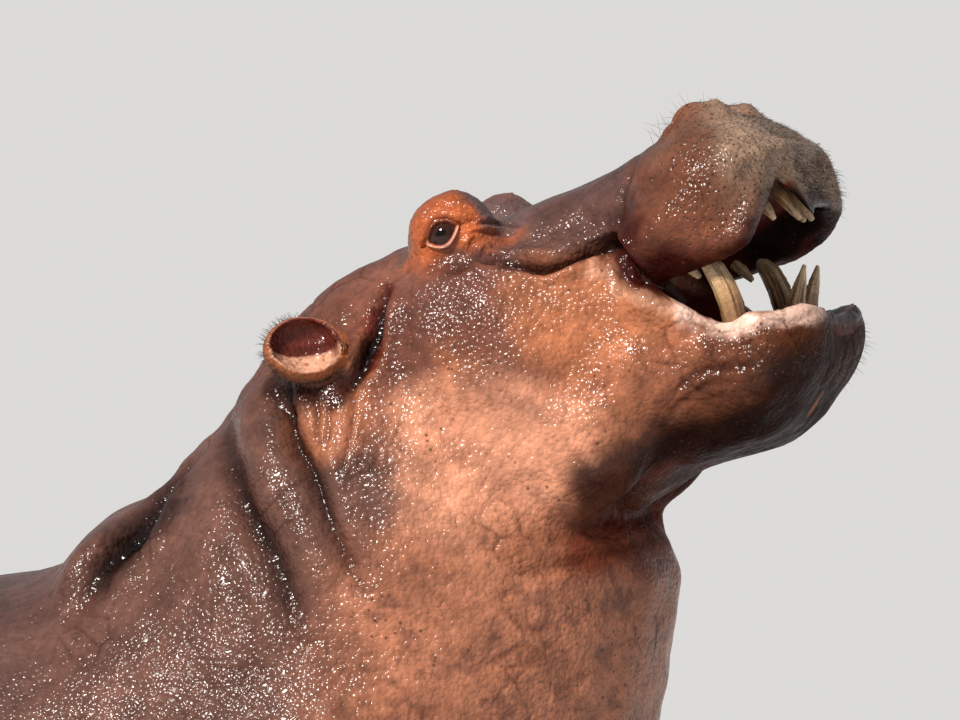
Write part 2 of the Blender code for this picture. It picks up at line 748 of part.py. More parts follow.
def bedded_pieces():
    """Each bedded piece with the name of the flesh that it lies in."""
    made = [(tongue(), "lower_jaw"), (tail(), "trunk")]
    for side in SIDES:
        made += [(eye(side), "head"), (ear(side), "head neck")]
        upper = cheek_teeth(f"upper_cheek_teeth_{side}", side, UPPER_GUM, UPPER_CROWN, HEAD)
        lower = cheek_teeth(f"lower_cheek_teeth_{side}", side, LOWER_GUM, LOWER_CROWN, JAW)
        made += [(upper, "head"), (lower, "lower_jaw")]
        for name, points, radii, frame, host in TEETH:
            made.append((tooth(f"{name}_{side}", side, points, radii, frame), host))
    for leg, side in STRIDES:
        made += toenails(leg, side)
    return made


# ---------------------------------------------------------------- the whole animal


def assemble():
    """Builds the animal and sets the middle of its length over the origin."""
    flesh_by_name = flesh_pieces()
    finished = list(flesh_by_name.values())
    for piece, hosts in bedded_pieces():
        for host in hosts.split():
            bed(piece, flesh_by_name[host])
        finished.append(piece)
    xs = [v.co.x for obj in finished for v in obj.data.vertices]
    centring = Matrix.Translation((-(min(xs) + max(xs)) / 2, 0, 0))
    for obj in finished:
        obj.data.transform(centring)
        WORKSHOP.objects.unlink(obj)
        HIPPO.objects.link(obj)
        look = next(look for start, look in LOOKS.items() if start in obj.name)
        obj.data.materials.clear()
        obj.data.materials.append(material(obj.name, *look))
    for cutter in list(WORKSHOP.objects):
        bpy.data.objects.remove(cutter)


clear_scene()
WORKSHOP = collection("cutters", hidden=True)
HIPPO = collection("hippopotamus")
assemble()
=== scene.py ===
"""The looks of a life-size hippopotamus: one wet, wrinkled skin over the CAD flesh, with its eyes, teeth,
tongue, toenails and bristles.

Metres, +X towards the nose, +Y to the animal's left, +Z up. Places on the head are given in the head's own
frame, whose origin lies between the eyes, and places on the lower jaw in the same frame turned about the
jaw's hinge. Both sides are alike, so a place's second number is its distance from the middle plane. The
tables of lines drawn on the skin are in millimetres.
"""

import itertools
import math

import bmesh
import bpy
import numpy as np
from mathutils import Matrix, Vector, noise
from mathutils.bvhtree import BVHTree


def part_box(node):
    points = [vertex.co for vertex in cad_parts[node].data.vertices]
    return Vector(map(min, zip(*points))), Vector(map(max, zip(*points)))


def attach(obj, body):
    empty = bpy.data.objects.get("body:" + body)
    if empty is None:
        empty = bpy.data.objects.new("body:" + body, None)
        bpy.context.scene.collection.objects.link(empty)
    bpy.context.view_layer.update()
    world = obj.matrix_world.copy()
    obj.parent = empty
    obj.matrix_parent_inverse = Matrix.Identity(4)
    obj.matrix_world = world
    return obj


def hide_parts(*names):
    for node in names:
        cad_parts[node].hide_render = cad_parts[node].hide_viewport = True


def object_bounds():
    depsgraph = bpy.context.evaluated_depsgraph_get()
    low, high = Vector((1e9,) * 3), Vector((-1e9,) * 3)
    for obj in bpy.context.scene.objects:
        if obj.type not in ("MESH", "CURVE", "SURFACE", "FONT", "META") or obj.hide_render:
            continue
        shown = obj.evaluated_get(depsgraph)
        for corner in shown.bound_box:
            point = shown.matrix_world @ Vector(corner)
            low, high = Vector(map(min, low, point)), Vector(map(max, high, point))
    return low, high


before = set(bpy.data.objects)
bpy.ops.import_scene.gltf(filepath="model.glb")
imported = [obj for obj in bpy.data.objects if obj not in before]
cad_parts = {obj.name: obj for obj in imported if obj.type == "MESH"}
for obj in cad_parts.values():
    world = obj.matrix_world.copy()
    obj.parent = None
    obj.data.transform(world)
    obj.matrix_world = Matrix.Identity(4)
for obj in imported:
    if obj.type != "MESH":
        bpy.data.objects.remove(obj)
CAD_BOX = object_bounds()
noise.seed_set(7)  # without a seed, noise_vector gives other vectors at each run

# ---------------------------------------------------------------- places

HEAD_PITCH = math.radians(30)
HEAD_ROLL = math.radians(-5)
EYES_FROM_ORIGIN = Vector((0.005, 0, -0.003))
JAW_HINGE = Vector((-0.14, 0, -0.12))
JAW_OPEN = math.radians(12.5)
SIDES = {"right": -1, "left": 1}
LEGS = [f"{leg}_{side}" for leg in ("foreleg", "hindleg") for side in SIDES]
FLESH = ["trunk", "neck", "head", "lower_jaw", "tail", "ear_right", "ear_left", *LEGS]
TEETH = [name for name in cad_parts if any(word in name for word in ("canine", "incisor", "teeth"))]
NAILS = [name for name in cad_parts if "toenail" in name]


def middle_of(node):
    """The middle of a CAD node's box."""
    low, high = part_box(node)
    return (low + high) / 2


EYE = {side: middle_of(f"eye_{side}") for side in SIDES}
EYE_RADIUS = max((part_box("eye_right")[1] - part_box("eye_right")[0])) / 2
HEAD_TURN = (Matrix.Rotation(-HEAD_PITCH, 4, "Y") @ Matrix.Rotation(HEAD_ROLL, 4, "X")).to_3x3()
HEAD_ORIGIN = (EYE["left"] + EYE["right"]) / 2 - HEAD_TURN @ EYES_FROM_ORIGIN
HEAD = Matrix.LocRotScale(HEAD_ORIGIN, HEAD_TURN, None)
JAW = (
    HEAD
    @ Matrix.Translation(JAW_HINGE)
    @ Matrix.Rotation(JAW_OPEN, 4, "Y")
    @ Matrix.Translation(-JAW_HINGE)
)
FRAMES = {"head": HEAD, "jaw": JAW, "body": Matrix.Identity(4)}
MM = 0.001
GAZE = (0.10, 1, 0.10)  # the way the left eye looks, in the head's frame

# ---------------------------------------------------------------- camera, floor and light

VIEW_AZIMUTH = math.radians(14)  # ahead of the animal's right side
VIEW_ELEVATION = math.radians(4)
VIEW_DISTANCE = 16.0
VIEW_WIDTH = 1.26316  # of the head's plane, across the picture
VIEW_RIGHT_OF_HEAD = 0.00921
VIEW_BELOW_HEAD = 0.16053
SENSOR = 36.0  # mm
FLOOR_REACH = 300.0
FLOOR_COLOUR = (0.55, 0.56, 0.57, 1)
FLOOR_ROUGHNESS = 0.8
SKY_COLOUR = (0.86, 0.90, 0.96, 1)
SKY_STRENGTH = 0.34
KEY_FROM = (-0.30, -0.66, 0.70)
KEY_COLOUR = (1.0, 0.95, 0.88)
KEY_STRENGTH = 4.7
KEY_WIDTH = math.radians(10)


def camera():
    """A long lens that looks at the head from the animal's right and a little ahead."""
    data = bpy.data.cameras.new("camera")
    data.sensor_width = SENSOR
    data.lens = SENSOR * VIEW_DISTANCE / VIEW_WIDTH
    data.clip_end = 2 * FLOOR_REACH
    tilt = Matrix.Rotation(math.pi / 2 - VIEW_ELEVATION, 4, "X")
    turned = Matrix.Rotation(VIEW_AZIMUTH, 4, "Z") @ tilt
    place = turned @ Vector((VIEW_RIGHT_OF_HEAD, -VIEW_BELOW_HEAD, VIEW_DISTANCE))
    obj = new_object("camera", data)
    obj.matrix_world = Matrix.Translation(HEAD_ORIGIN + place) @ turned
    bpy.context.scene.camera = obj


def key_light():
    """A warm key from above the animal's back, so far off that it lights the whole floor alike."""
    data = bpy.data.lights.new("key", "SUN")
    data.energy = KEY_STRENGTH
    data.angle = KEY_WIDTH
    data.color = KEY_COLOUR
    new_object("key", data).rotation_euler = (-Vector(KEY_FROM)).to_track_quat("-Z", "Y").to_euler()


def studio():
    """A plain pale floor and soft light from all round."""
    bm = bmesh.new()
    bmesh.ops.create_grid(bm, x_segments=1, y_segments=1, size=FLOOR_REACH)
    floor = new_object("floor", mesh_of(bm, "floor"))
    pale = Shader("pale_floor")
    pale.look(Base_Color=FLOOR_COLOUR, Roughness=FLOOR_ROUGHNESS)
    floor.data.materials.append(pale.material)
    world = bpy.data.worlds.new("studio")
    bpy.context.scene.world = world
    world.use_nodes = True
    background = world.node_tree.nodes["Background"]
    background.inputs["Color"].default_value = SKY_COLOUR
    background.inputs["Strength"].default_value = SKY_STRENGTH
    key_light()
    bpy.context.scene.view_settings.view_transform = "Standard"


# ---------------------------------------------------------------- mesh helpers


def new_object(name, data):
    """An object of the scene from a mesh, light or camera."""
    obj = bpy.data.objects.new(name, data)
    bpy.context.scene.collection.objects.link(obj)
    return obj


def values(items, name, width=3, kind=float):
    """One property of all the items, as an array with a row for each."""
    found = np.empty(len(items) * width, kind)
    items.foreach_get(name, found)
    return found.reshape(-1, width)


def coordinates(mesh):
    """The mesh's vertices as an array."""
    return values(mesh.vertices, "co")


def normals(mesh):
    """The mesh's vertex normals as an array."""
    return values(mesh.vertices, "normal")


def set_coordinates(mesh, co):
    """Moves the mesh's vertices."""
    mesh.vertices.foreach_set("co", co.ravel())
    mesh.update()


def lifted(mesh, height):
    """Moves each vertex out along its normal by its height."""
    set_coordinates(mesh, coordinates(mesh) + normals(mesh) * height[:, None])


def neighbours(mesh):
    """The mesh's edges as two long arrays, each edge both ways, and how many edges meet at each vertex."""
    one, two = values(mesh.edges, "vertices", 2, int).T
    start, end = np.concatenate([one, two]), np.concatenate([two, one])
    count = np.bincount(start, minlength=len(mesh.vertices)).clip(1)
    return start, end, count


def pull_to_mean(co, links, share):
    """Each point moved by its share of the way to its neighbours' mean."""
    start, end, count = links
    mean = np.stack([np.bincount(start, co[end, k], len(co)) / count for k in range(3)], 1)
    return co + (mean - co) * share[:, None]


def softened(mesh, share, passes):
    """Smooths the mesh where share (0 to 1, one for each vertex) is high, without shrinking it."""
    links = neighbours(mesh)
    co = coordinates(mesh)
    for _ in range(passes):
        co = pull_to_mean(co, links, 0.5 * share)
        co = pull_to_mean(co, links, -0.525 * share)
    set_coordinates(mesh, co)


def low_passed(mesh, share, passes):
    """Smooths away facets but keeps the bulk: what smoothing takes off, itself smoothed, is put back."""
    links = neighbours(mesh)
    first = coordinates(mesh)
    co = first
    for _ in range(passes):
        co = pull_to_mean(co, links, 0.5 * share)
    lost = first - co
    for _ in range(passes):
        lost = pull_to_mean(lost, links, 0.5 * share)
    set_coordinates(mesh, co + lost)


def step(value, zero, one):
    """A smooth step from 0 at the one value to 1 at the other, which may be the lower of the two."""
    t = np.clip((value - zero) / (one - zero), 0, 1)
    return t * t * (3 - 2 * t)


def band(value, start, full, ease, end):
    """A smooth rise from 0 at start to 1 at full, and a fall from 1 at ease to 0 at end."""
    return step(value, start, full) * step(value, end, ease)


def hill(value, middle, width):
    """A bell curve of height 1."""
    return np.exp(-(((value - middle) / width) ** 2))


def mixed(one, two, share):
    """From one colour to the other by each vertex's share."""
    return one + (np.array(two) - one) * share[:, None]


def length(rows):
    """The length of each row's vector."""
    return np.linalg.norm(rows, axis=1)


def turned_by(co, matrix):
    """Points taken through a matrix."""
    matrix = np.array(matrix)
    return co @ matrix[:3, :3].T + matrix[:3, 3]


def local(co, turned):
    """World points in a frame, with both sides folded onto the left one."""
    found = turned_by(co, turned.inverted())
    found[:, 1] = np.abs(found[:, 1])
    return found


def grain(places, size, seed=0.0):
    """Smooth noise from about -1 to 1, with blots of about the given size."""
    return np.array([noise.noise(p) for p in (places / size + seed).tolist()])


def warp(places, size, amount, seed=0.0):
    """The places shifted about by smooth noise, so that what is drawn there has a natural edge."""
    return places + amount * np.array([noise.noise_vector(p)[:] for p in (places / size + seed).tolist()])


def cells(places, size, seed=0.0):
    """A net of cracks: 0 on the edges between cells of about the given size, up to about 1 inside them."""
    found = np.array([noise.voronoi(p)[0][:2] for p in (places / size + seed).tolist()])
    return found[:, 1] - found[:, 0]


def paint(mesh, name, colours):
    """Stores a colour for each vertex under a name that a material reads."""
    layer = mesh.color_attributes.new(name, "FLOAT_COLOR", "POINT")
    if colours.shape[1] == 3:
        colours = np.column_stack([colours, np.ones(len(colours))])
    layer.data.foreach_set("color", colours.astype(np.float32).ravel())


def finish_piece(obj, material, slot, *nodes):
    """Gives a piece its material, its place in the frame and the CAD nodes that it stands for."""
    obj.data.polygons.foreach_set("use_smooth", np.ones(len(obj.data.polygons), bool))
    obj.data.materials.clear()
    obj.data.materials.append(material)
    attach(obj, "root")
    if nodes:
        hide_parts(*nodes)


# ---------------------------------------------------------------- the skin's base

CLOSING = 0.0007  # how far the flesh is pushed out to close its thin cuts
BASE_VOXEL = 0.007
BEDDED = 0.0013  # a tooth's surface this near the flesh lies in its bed


def cad_mesh(node, grow=0.0, scale=1.0):
    """A bmesh of a CAD node, grown along its normals or scaled about its middle."""
    bm = bmesh.new()
    bm.from_mesh(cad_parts[node].data)
    bmesh.ops.remove_doubles(bm, verts=bm.verts, dist=0.00002)
    bm.normal_update()
    centre = middle_of(node)
    for vertex in bm.verts:
        vertex.co += vertex.normal * grow
        vertex.co = centre + (vertex.co - centre) * scale
    return bm


def root_of(tooth, flesh_tree):
    """The part of a tooth that lies in its bed, as a plug a little wider than the bed."""
    bm = cad_mesh(tooth)
    bmesh.ops.triangulate(bm, faces=bm.faces)
    bmesh.ops.subdivide_edges(bm, edges=bm.edges, cuts=3, use_grid_fill=True)
    free = [v for v in bm.verts if flesh_tree.find_nearest(v.co)[3] > BEDDED]
    bmesh.ops.delete(bm, geom=free, context="VERTS")
    bmesh.ops.holes_fill(bm, edges=bm.edges)
    bm.normal_update()
    for vertex in bm.verts:
        vertex.co += vertex.normal * (2 * CLOSING)
    return bm


def mesh_of(bm, name):
    """A mesh from a bmesh, which is freed."""
    mesh = bpy.data.meshes.new(name)
    bm.to_mesh(mesh)
    bm.free()
    return mesh


def add_to(whole, bm):
    """Adds a bmesh to another through a throwaway mesh."""
    mesh = mesh_of(bm, "part")
    whole.from_mesh(mesh)
    bpy.data.meshes.remove(mesh)


def remeshed(obj, voxel):
    """Makes the object's mesh one closed skin of even squares."""
    remesh = obj.modifiers.new("one_skin", "REMESH")
    remesh.mode = "VOXEL"
    remesh.voxel_size = voxel
    bpy.context.view_layer.update()
    mesh = bpy.data.meshes.new_from_object(obj.evaluated_get(bpy.context.evaluated_depsgraph_get()))
    obj.modifiers.clear()
    obj.data = mesh


def base_skin():
    """The flesh nodes made one closed skin, with the beds of eyes, teeth, tongue and nails filled."""
    flesh = bmesh.new()
    for node in FLESH:
        add_to(flesh, cad_mesh(node))
    tree = BVHTree.FromBMesh(flesh)
    flesh.free()
    whole = bmesh.new()
    for node in FLESH:
        add_to(whole, cad_mesh(node, grow=CLOSING))
    for side in SIDES:
        add_to(whole, cad_mesh(f"eye_{side}", grow=CLOSING))
    add_to(whole, cad_mesh("tongue", scale=0.9))
    for node in NAILS:
        add_to(whole, cad_mesh(node, scale=0.8))
    for node in TEETH:
        add_to(whole, root_of(node, tree))
    skin = new_object("skin", mesh_of(whole, "skin"))
    remeshed(skin, BASE_VOXEL)
    return skin


def refine(mesh, chosen):
    """Splits the faces whose vertices are all chosen into four."""
    bm = bmesh.new()
    bm.from_mesh(mesh)
    bm.verts.ensure_lookup_table()
    edges = [e for e in bm.edges if chosen[e.verts[0].index] and chosen[e.verts[1].index]]
    bmesh.ops.subdivide_edges(bm, edges=edges, cuts=1, use_grid_fill=True)
    bm.to_mesh(mesh)
    bm.free()


def within(co, spots):
    """Which points lie in any of the spots, each a frame, a middle and a radius."""
    chosen = np.zeros(len(co), bool)
    for frame_name, middle, radius in spots:
        chosen |= length(local(co, FRAMES[frame_name]) - middle) < radius
    return chosen


# ---------------------------------------------------------------- drawing on the skin

SIGHTS = {  # where a drawn line starts, and which way it is thrown on the skin
    "side": (lambda a, b: (a, -0.8, b), (0, 1, 0)),
    "top": (lambda a, b: (a, -b, 0.8), (0, 0, -1)),
    "front": (lambda a, b: (0.9, -a, b), (-1, 0, 0)),
}


def curve_through(points, steps=6):
    """The points with a smooth curve's points between them."""
    padded = [points[0], *points, points[-1]]
    made = []
    for four in zip(padded, padded[1:], padded[2:], padded[3:]):
        a, b, c, d = (np.array(p, float) for p in four)
        for k in range(steps):
            t = k / steps
            turn = a - 2.5 * b + 2 * c - d / 2
            end = (d - a + 3 * (b - c)) / 2
            made.append(b + (c - a) * t / 2 + turn * t**2 + end * t**3)
    return np.array([*made, points[-1]])


def thrown(tree, frame_name, sight, points):
    """A line drawn in a side, top or front view of a frame, thrown on the right side of the skin."""
    turned = FRAMES[frame_name]
    place, direction = SIGHTS[sight]
    found = []
    for a, b in curve_through(points):
        hit = tree.ray_cast(turned @ Vector(place(a, b)), turned.to_3x3() @ Vector(direction))[0]
        if hit is not None:
            found.append(hit)
    return local(np.array(found, float).reshape(-1, 3), turned)


def beside(places, line, limit):
    """Each place's distance to the line and how far along it that is, 0 to 1. Far places get infinity."""
    distance = np.full(len(places), np.inf)
    along = np.zeros(len(places))
    near = np.all((places > line.min(0) - limit) & (places < line.max(0) + limit), axis=1)
    chosen = np.flatnonzero(near)
    for i, (a, b) in enumerate(zip(line, line[1:])):
        span = b - a
        t = np.clip((places[chosen] - a) @ span / max(span @ span, 1e-12), 0, 1)
        gap = length(places[chosen] - a - t[:, None] * span)
        closer = gap < distance[chosen]
        distance[chosen[closer]] = gap[closer]
        along[chosen[closer]] = (i + t[closer]) / (len(line) - 1)
    return distance, along


# Lines pressed into the skin (height below 0) or raised on it, each drawn in a view of its frame.
STROKES = {  # by frame and view: points, width and height, in millimetres
    ("head", "side"): [
        # the deep crease under the bridge, the cheek's edge and the roll behind it
        ([(40, -58), (75, -82), (109, -107), (160, -117), (198, -120)], 8.5, -19),
        ([(184, -118), (204, -126), (210, -152), (217, -187)], 7.5, -20),
        ([(120, -128), (160, -133), (188, -146), (198, -190), (212, -222)], 13, 8),
        ([(50, -50), (90, -78), (140, -92), (205, -94)], 15, 8),
        ([(286, -10), (276, -22), (261, -51), (232, -82), (214, -112)], 6, -3),
        # folds round the eye
        ([(34, -6), (56, -12), (74, -22), (90, -36)], 3, -3),
        ([(32, -16), (50, -22), (68, -36)], 3, -2.2),
        ([(-30, -10), (-10, -34), (18, -38), (42, -30), (60, -30)], 5, -3.5),
        ([(-40, -30), (-10, -50), (20, -54), (50, -46)], 6, -3),
        # folds in front of and under the ear
        ([(-98, -20), (-116, -50), (-136, -82), (-160, -108), (-190, -128)], 9, -13),
        ([(-80, -30), (-98, -66), (-120, -102), (-150, -134)], 11, 6),
    ],
    ("head", "top"): [
        # the nostril, its rims and the furrow between the nostrils
        ([(320, 94), (332, 82), (347, 69), (366, 58)], 5.5, -20),
        ([(308, 88), (322, 72), (340, 56), (362, 46)], 9, 3),
        ([(334, 100), (348, 88), (364, 74), (378, 62)], 9, 2),
        ([(250, 0), (320, 0), (400, 0)], 16, -5),
    ],
    ("jaw", "side"): [
        # the chin's and the lower lip's creases
        ([(215, -262), (240, -250), (265, -244), (319, -254), (350, -255)], 6, -4),
        ([(205, -285), (235, -270), (275, -262), (310, -270)], 5, -2.5),
        ([(340, -208), (370, -214), (402, -214), (440, -208)], 4.5, -3.5),
    ],
    ("body", "side"): [
        # folds of the neck: behind the ear, the second roll, the hump and the throat
        (
            [(586, 1600), (601, 1559), (611, 1539), (635, 1487), (662, 1448), (696, 1382), (735, 1310)],
            14,
            -18,
        ),
        ([(550, 1560), (565, 1520), (590, 1460), (625, 1400), (655, 1340)], 34, 10),
        ([(470, 1530), (511, 1486), (547, 1437), (588, 1382), (626, 1330), (668, 1240)], 20, -17),
        ([(420, 1470), (460, 1430), (500, 1375), (540, 1310), (570, 1240)], 36, 8),
        ([(470, 1450), (456, 1438), (422, 1398), (395, 1351), (361, 1311), (340, 1250)], 20, -22),
        ([(960, 1358), (1031, 1385), (1090, 1393), (1140, 1427)], 20, -3),
        ([(925, 1318), (990, 1330), (1060, 1352)], 9, -3),
        ([(690, 1560), (696, 1530), (693, 1490), (687, 1450)], 11, 3),
        ([(705, 1560), (712, 1520), (708, 1480), (700, 1440)], 3.5, -3),
        ([(625, 1560), (640, 1513), (652, 1473)], 15, 4),
        ([(655, 1555), (664, 1520), (668, 1480)], 3.5, -3),
        ([(676, 1548), (682, 1505), (680, 1470)], 3, -2.2),
        # shoulder, chest, flank and thigh
        ([(545, 500), (520, 600), (505, 720), (520, 860)], 26, -18),
        ([(590, 560), (570, 700), (590, 860)], 60, 12),
        ([(840, 600), (850, 740), (810, 900), (740, 1040)], 26, -12),
        ([(500, 440), (440, 470), (360, 500)], 18, -8),
        ([(-700, 470), (-640, 560), (-620, 680), (-660, 820)], 26, -18),
        ([(-700, 560), (-690, 680), (-730, 800)], 60, 12),
        ([(-600, 440), (-540, 480), (-460, 500)], 18, -9),
        ([(-1060, 800), (-1020, 680), (-985, 560)], 20, -8),
    ],
}
# the drawn furrows get painted shade, fuller for deeper furrows
FULL_SHADE_DEPTH = 0.013  # a furrow this deep is as dark as furrows get


def stroke_lift(tree, co):
    """How far the strokes lift each vertex, and how much painted shade their furrows put on it."""
    lift = np.zeros(len(co))
    shade = np.zeros(len(co))
    for (frame_name, sight), lines in STROKES.items():
        places = local(co, FRAMES[frame_name])
        for points, width, height in lines:
            width, height = width * MM, height * MM
            line = thrown(tree, frame_name, sight, np.array(points) * MM)
            distance, along = beside(places, line, 3.5 * width)
            fade = np.sqrt(np.sin(np.pi * np.clip(along, 0.02, 0.98)))
            lift += height * hill(distance, 0, width) * fade
            if height < 0:
                lift -= 0.25 * height * hill(distance, 2.2 * width, width) * fade
                # painted shade along the furrow
                depth = min(1, -height / FULL_SHADE_DEPTH)
                shade = np.maximum(shade, depth * hill(distance, 0, 0.85 * width) * fade)
    return lift, shade


# ---------------------------------------------------------------- eyelids, ears and wrinkles

LID_HALF_WIDTH = 0.0225
LID_HALF_HEIGHT = 0.0145
LID_THICKNESS = 0.0022
LID_FOLDS = [  # distance from the fissure, width and height of each fold over and under the eye
    (0.0025, 0.0022, 0.0016, 0.0016),
    (0.0030, 0.0022, 0.0, 0.0014),
    (0.0080, 0.0018, 0.0, -0.0022),
    (0.0085, 0.0018, -0.0026, 0.0),
    (0.0150, 0.0042, 0.0054, 0.0),
    (0.0215, 0.0016, -0.0018, 0.0),
]
EYE_REACH = 0.060


def lens(a, u, half_width, half_height):
    """Signed distance from the edge of a lens shape, negative inside."""
    radius = (half_width**2 + half_height**2) / (2 * half_height)
    drop = radius - half_height
    return np.maximum(np.hypot(a, u + drop), np.hypot(a, u - drop)) - radius


def eye_axes(side):
    """Outwards, ahead and up at an eye."""
    sign = SIDES[side]
    out = HEAD_TURN @ Vector((GAZE[0], sign * GAZE[1], GAZE[2])).normalized()
    ahead = HEAD_TURN @ Vector((1, 0, -0.02))
    ahead = (ahead - out * ahead.dot(out)).normalized()
    return np.array([out, ahead, out.cross(ahead) * -sign])


def lids(mesh):
    """Opens the eyes: lids that lie on the eyeball, with a fissure between them, folds over and under them.
    Returns each vertex's distance from the fissure, and whether it is over it."""
    co = coordinates(mesh)
    gaps = np.ones(len(co))
    aboves = np.zeros(len(co))
    for side in SIDES:
        centre = np.array(EYE[side])
        near = np.flatnonzero(length(co - centre) < EYE_REACH)
        arm = co[near] - centre
        radius = length(arm)
        depth, ahead, up = (arm @ eye_axes(side).T).T
        a = EYE_RADIUS * np.arctan2(ahead, depth)
        u = EYE_RADIUS * np.arctan2(up, depth)
        gap = lens(a + 0.10 * u, u - 0.15 * a, LID_HALF_WIDTH, LID_HALF_HEIGHT)
        above = step(u, -0.004, 0.004)
        facing = depth > 0.1 * radius
        gaps[near] = np.where(facing, gap, 1)
        aboves[near] = above
        lid = EYE_RADIUS + LID_THICKNESS
        for middle, width, over, under in LID_FOLDS:
            lid = lid + (under + (over - under) * above) * hill(gap, middle, width)
        rest = np.maximum(radius, lid - 0.004) - EYE_RADIUS - LID_THICKNESS
        outside = lid + rest * step(gap, 0.008, 0.026)
        inside = EYE_RADIUS - 0.0060
        target = np.where(gap < 0, outside + (inside - outside) * step(-gap, 0.0, 0.0012), outside)
        co[near] = centre + arm * np.where(facing, target / radius, 1)[:, None]
    set_coordinates(mesh, co)
    return gaps, aboves


UPPER_LIP_RISE = 0.048
LOWER_LIP_RISE = 0.013
EAR_BASE = (-0.168, 0.194, -0.074)
EAR_ALONG = (-0.092, 0.072, 0.044)
EAR_OUTWARD = (0.47, 0.99, 0.25)


def ear_frame():
    """The left ear's frame in the head's: X from stalk to tip, Z out of the cup."""
    x = Vector(EAR_ALONG).normalized()
    y = Vector(EAR_OUTWARD).cross(x).normalized()
    return Matrix.LocRotScale(Vector(EAR_BASE), Matrix((x, y, x.cross(y))).transposed(), None)


def egg(places, centre, radii):
    """About how far each place is from an ellipsoid's surface, negative inside."""
    arm = places - centre
    near = length(arm / radii)
    return near * (near - 1) / length(arm / np.square(radii)).clip(1e-9)


def both(one, two, blend):
    """The smooth union of two distances."""
    share = np.clip(0.5 + (two - one) / (2 * blend), 0, 1)
    return two + (one - two) * share - blend * share * (1 - share)


EAR_MIDDLE = (0.058, 0, 0)
# middles and radii of the ellipsoids that make the ear, in its own frame
EAR_BLADE = ((0.060, 0, -0.001), (0.056, 0.045, 0.029))
EAR_STALK = ((0, 0, -0.004), (0.038, 0.024, 0.020))
EAR_CUP = ((0.064, 0, 0.018), (0.047, 0.038, 0.033))
EAR_CANAL = ((0.030, -0.006, 0.016), (0.030, 0.012, 0.014))


def ear_field(places):
    """Distance from the ear's true surface: a rolled rim round a deep cup with a ridge down its inside."""
    solid = both(egg(places, *EAR_BLADE), egg(places, *EAR_STALK), 0.012)
    hollow = both(egg(places, *EAR_CUP), egg(places, *EAR_CANAL), 0.006)
    hollow = hollow + 0.0035 * hill(places[:, 1], 0.010, 0.006) * step(places[:, 0], 0.10, 0.04)
    cup = -both(-solid, hollow, 0.0045)
    return cup - 0.0012 * hill(places[:, 2], 0.016, 0.006)


def sculpted_ears(mesh):
    """Draws the skin's coarse ears onto the true ear's surface."""
    co = coordinates(mesh)
    head = turned_by(co, HEAD.inverted())
    sign = np.where(head[:, 1] < 0, -1.0, 1.0)
    head[:, 1] *= sign
    places = turned_by(head, ear_frame().inverted())
    near = np.flatnonzero(length(places - EAR_MIDDLE) < 0.085)
    found = places[near]
    weight = step(found[:, 0], 0.004, 0.026)
    tiny = 0.0004
    for _ in range(6):
        here = ear_field(found)
        slope = np.stack([(ear_field(found + np.eye(3)[k] * tiny) - here) / tiny for k in range(3)], 1)
        size = np.einsum("ij,ij->i", slope, slope).clip(0.2)
        move = np.clip(here / size, -0.004, 0.004)
        found = found - (weight * 0.7 * move)[:, None] * slope
    head[near] = turned_by(found, ear_frame())
    head[:, 1] *= sign
    set_coordinates(mesh, turned_by(head, HEAD))


def raised_lips(mesh):
    """Lifts the front of the right upper lip, as in the photo, and the middle of the lower lip."""
    head = turned_by(coordinates(mesh), HEAD.inverted())
    x, y, z = head.T
    flank = step(x, 0.355, 0.430) * step(-y, 0.020, 0.085)
    front = step(x, 0.422, 0.446) * step(-y, -0.125, -0.055)
    z += UPPER_LIP_RISE * np.maximum(flank, front) * band(z, -0.255, -0.235, -0.185, -0.085)
    jaw = turned_by(turned_by(head, HEAD), JAW.inverted())
    x, y, z = jaw.T
    middle = step(x, 0.385, 0.425) * step(np.abs(y), 0.085, 0.040)
    z += LOWER_LIP_RISE * middle * band(z, -0.265, -0.225, -0.16, -0.14)
    set_coordinates(mesh, turned_by(jaw, JAW))


# along, top, bottom and half width of the spaces behind the lips, in the head's and the jaw's frames
UPPER_MOUTH = [
    (0.03, -0.17, -0.21, 0.060),
    (0.09, -0.150, -0.26, 0.105),
    (0.18, -0.142, -0.30, 0.112),
    (0.27, -0.142, -0.34, 0.142),
    (0.34, -0.140, -0.34, 0.148),
    (0.395, -0.132, -0.34, 0.125),
    (0.422, -0.134, -0.34, 0.085),
]
LOWER_MOUTH = [
    (0.05, -0.13, -0.21, 0.060),
    (0.12, -0.10, -0.245, 0.105),
    (0.22, -0.08, -0.255, 0.108),
    (0.32, -0.08, -0.255, 0.112),
    (0.38, -0.10, -0.250, 0.108),
    (0.415, -0.14, -0.235, 0.080),
]


def in_mouth(places, ribs):
    """1 on the lining of a mouth space, 0 away from it."""
    along, top, bottom, half = np.array(ribs).T
    x = places[:, 0]
    high, low, side = (np.interp(x, along, values) for values in (top, bottom, half))
    rise = np.abs(places[:, 2] - (high + low) / 2) / ((high - low) / 2)
    across = places[:, 1] / side
    ends = step(x, along[0] - 0.01, along[0] + 0.01) * step(x, along[-1] + 0.012, along[-1] + 0.002)
    return step((rise**2.5 + across**2.5) ** 0.4, 1.12, 1.03) * ends


FACE_MIDDLE = (0.1, 0, -0.15)


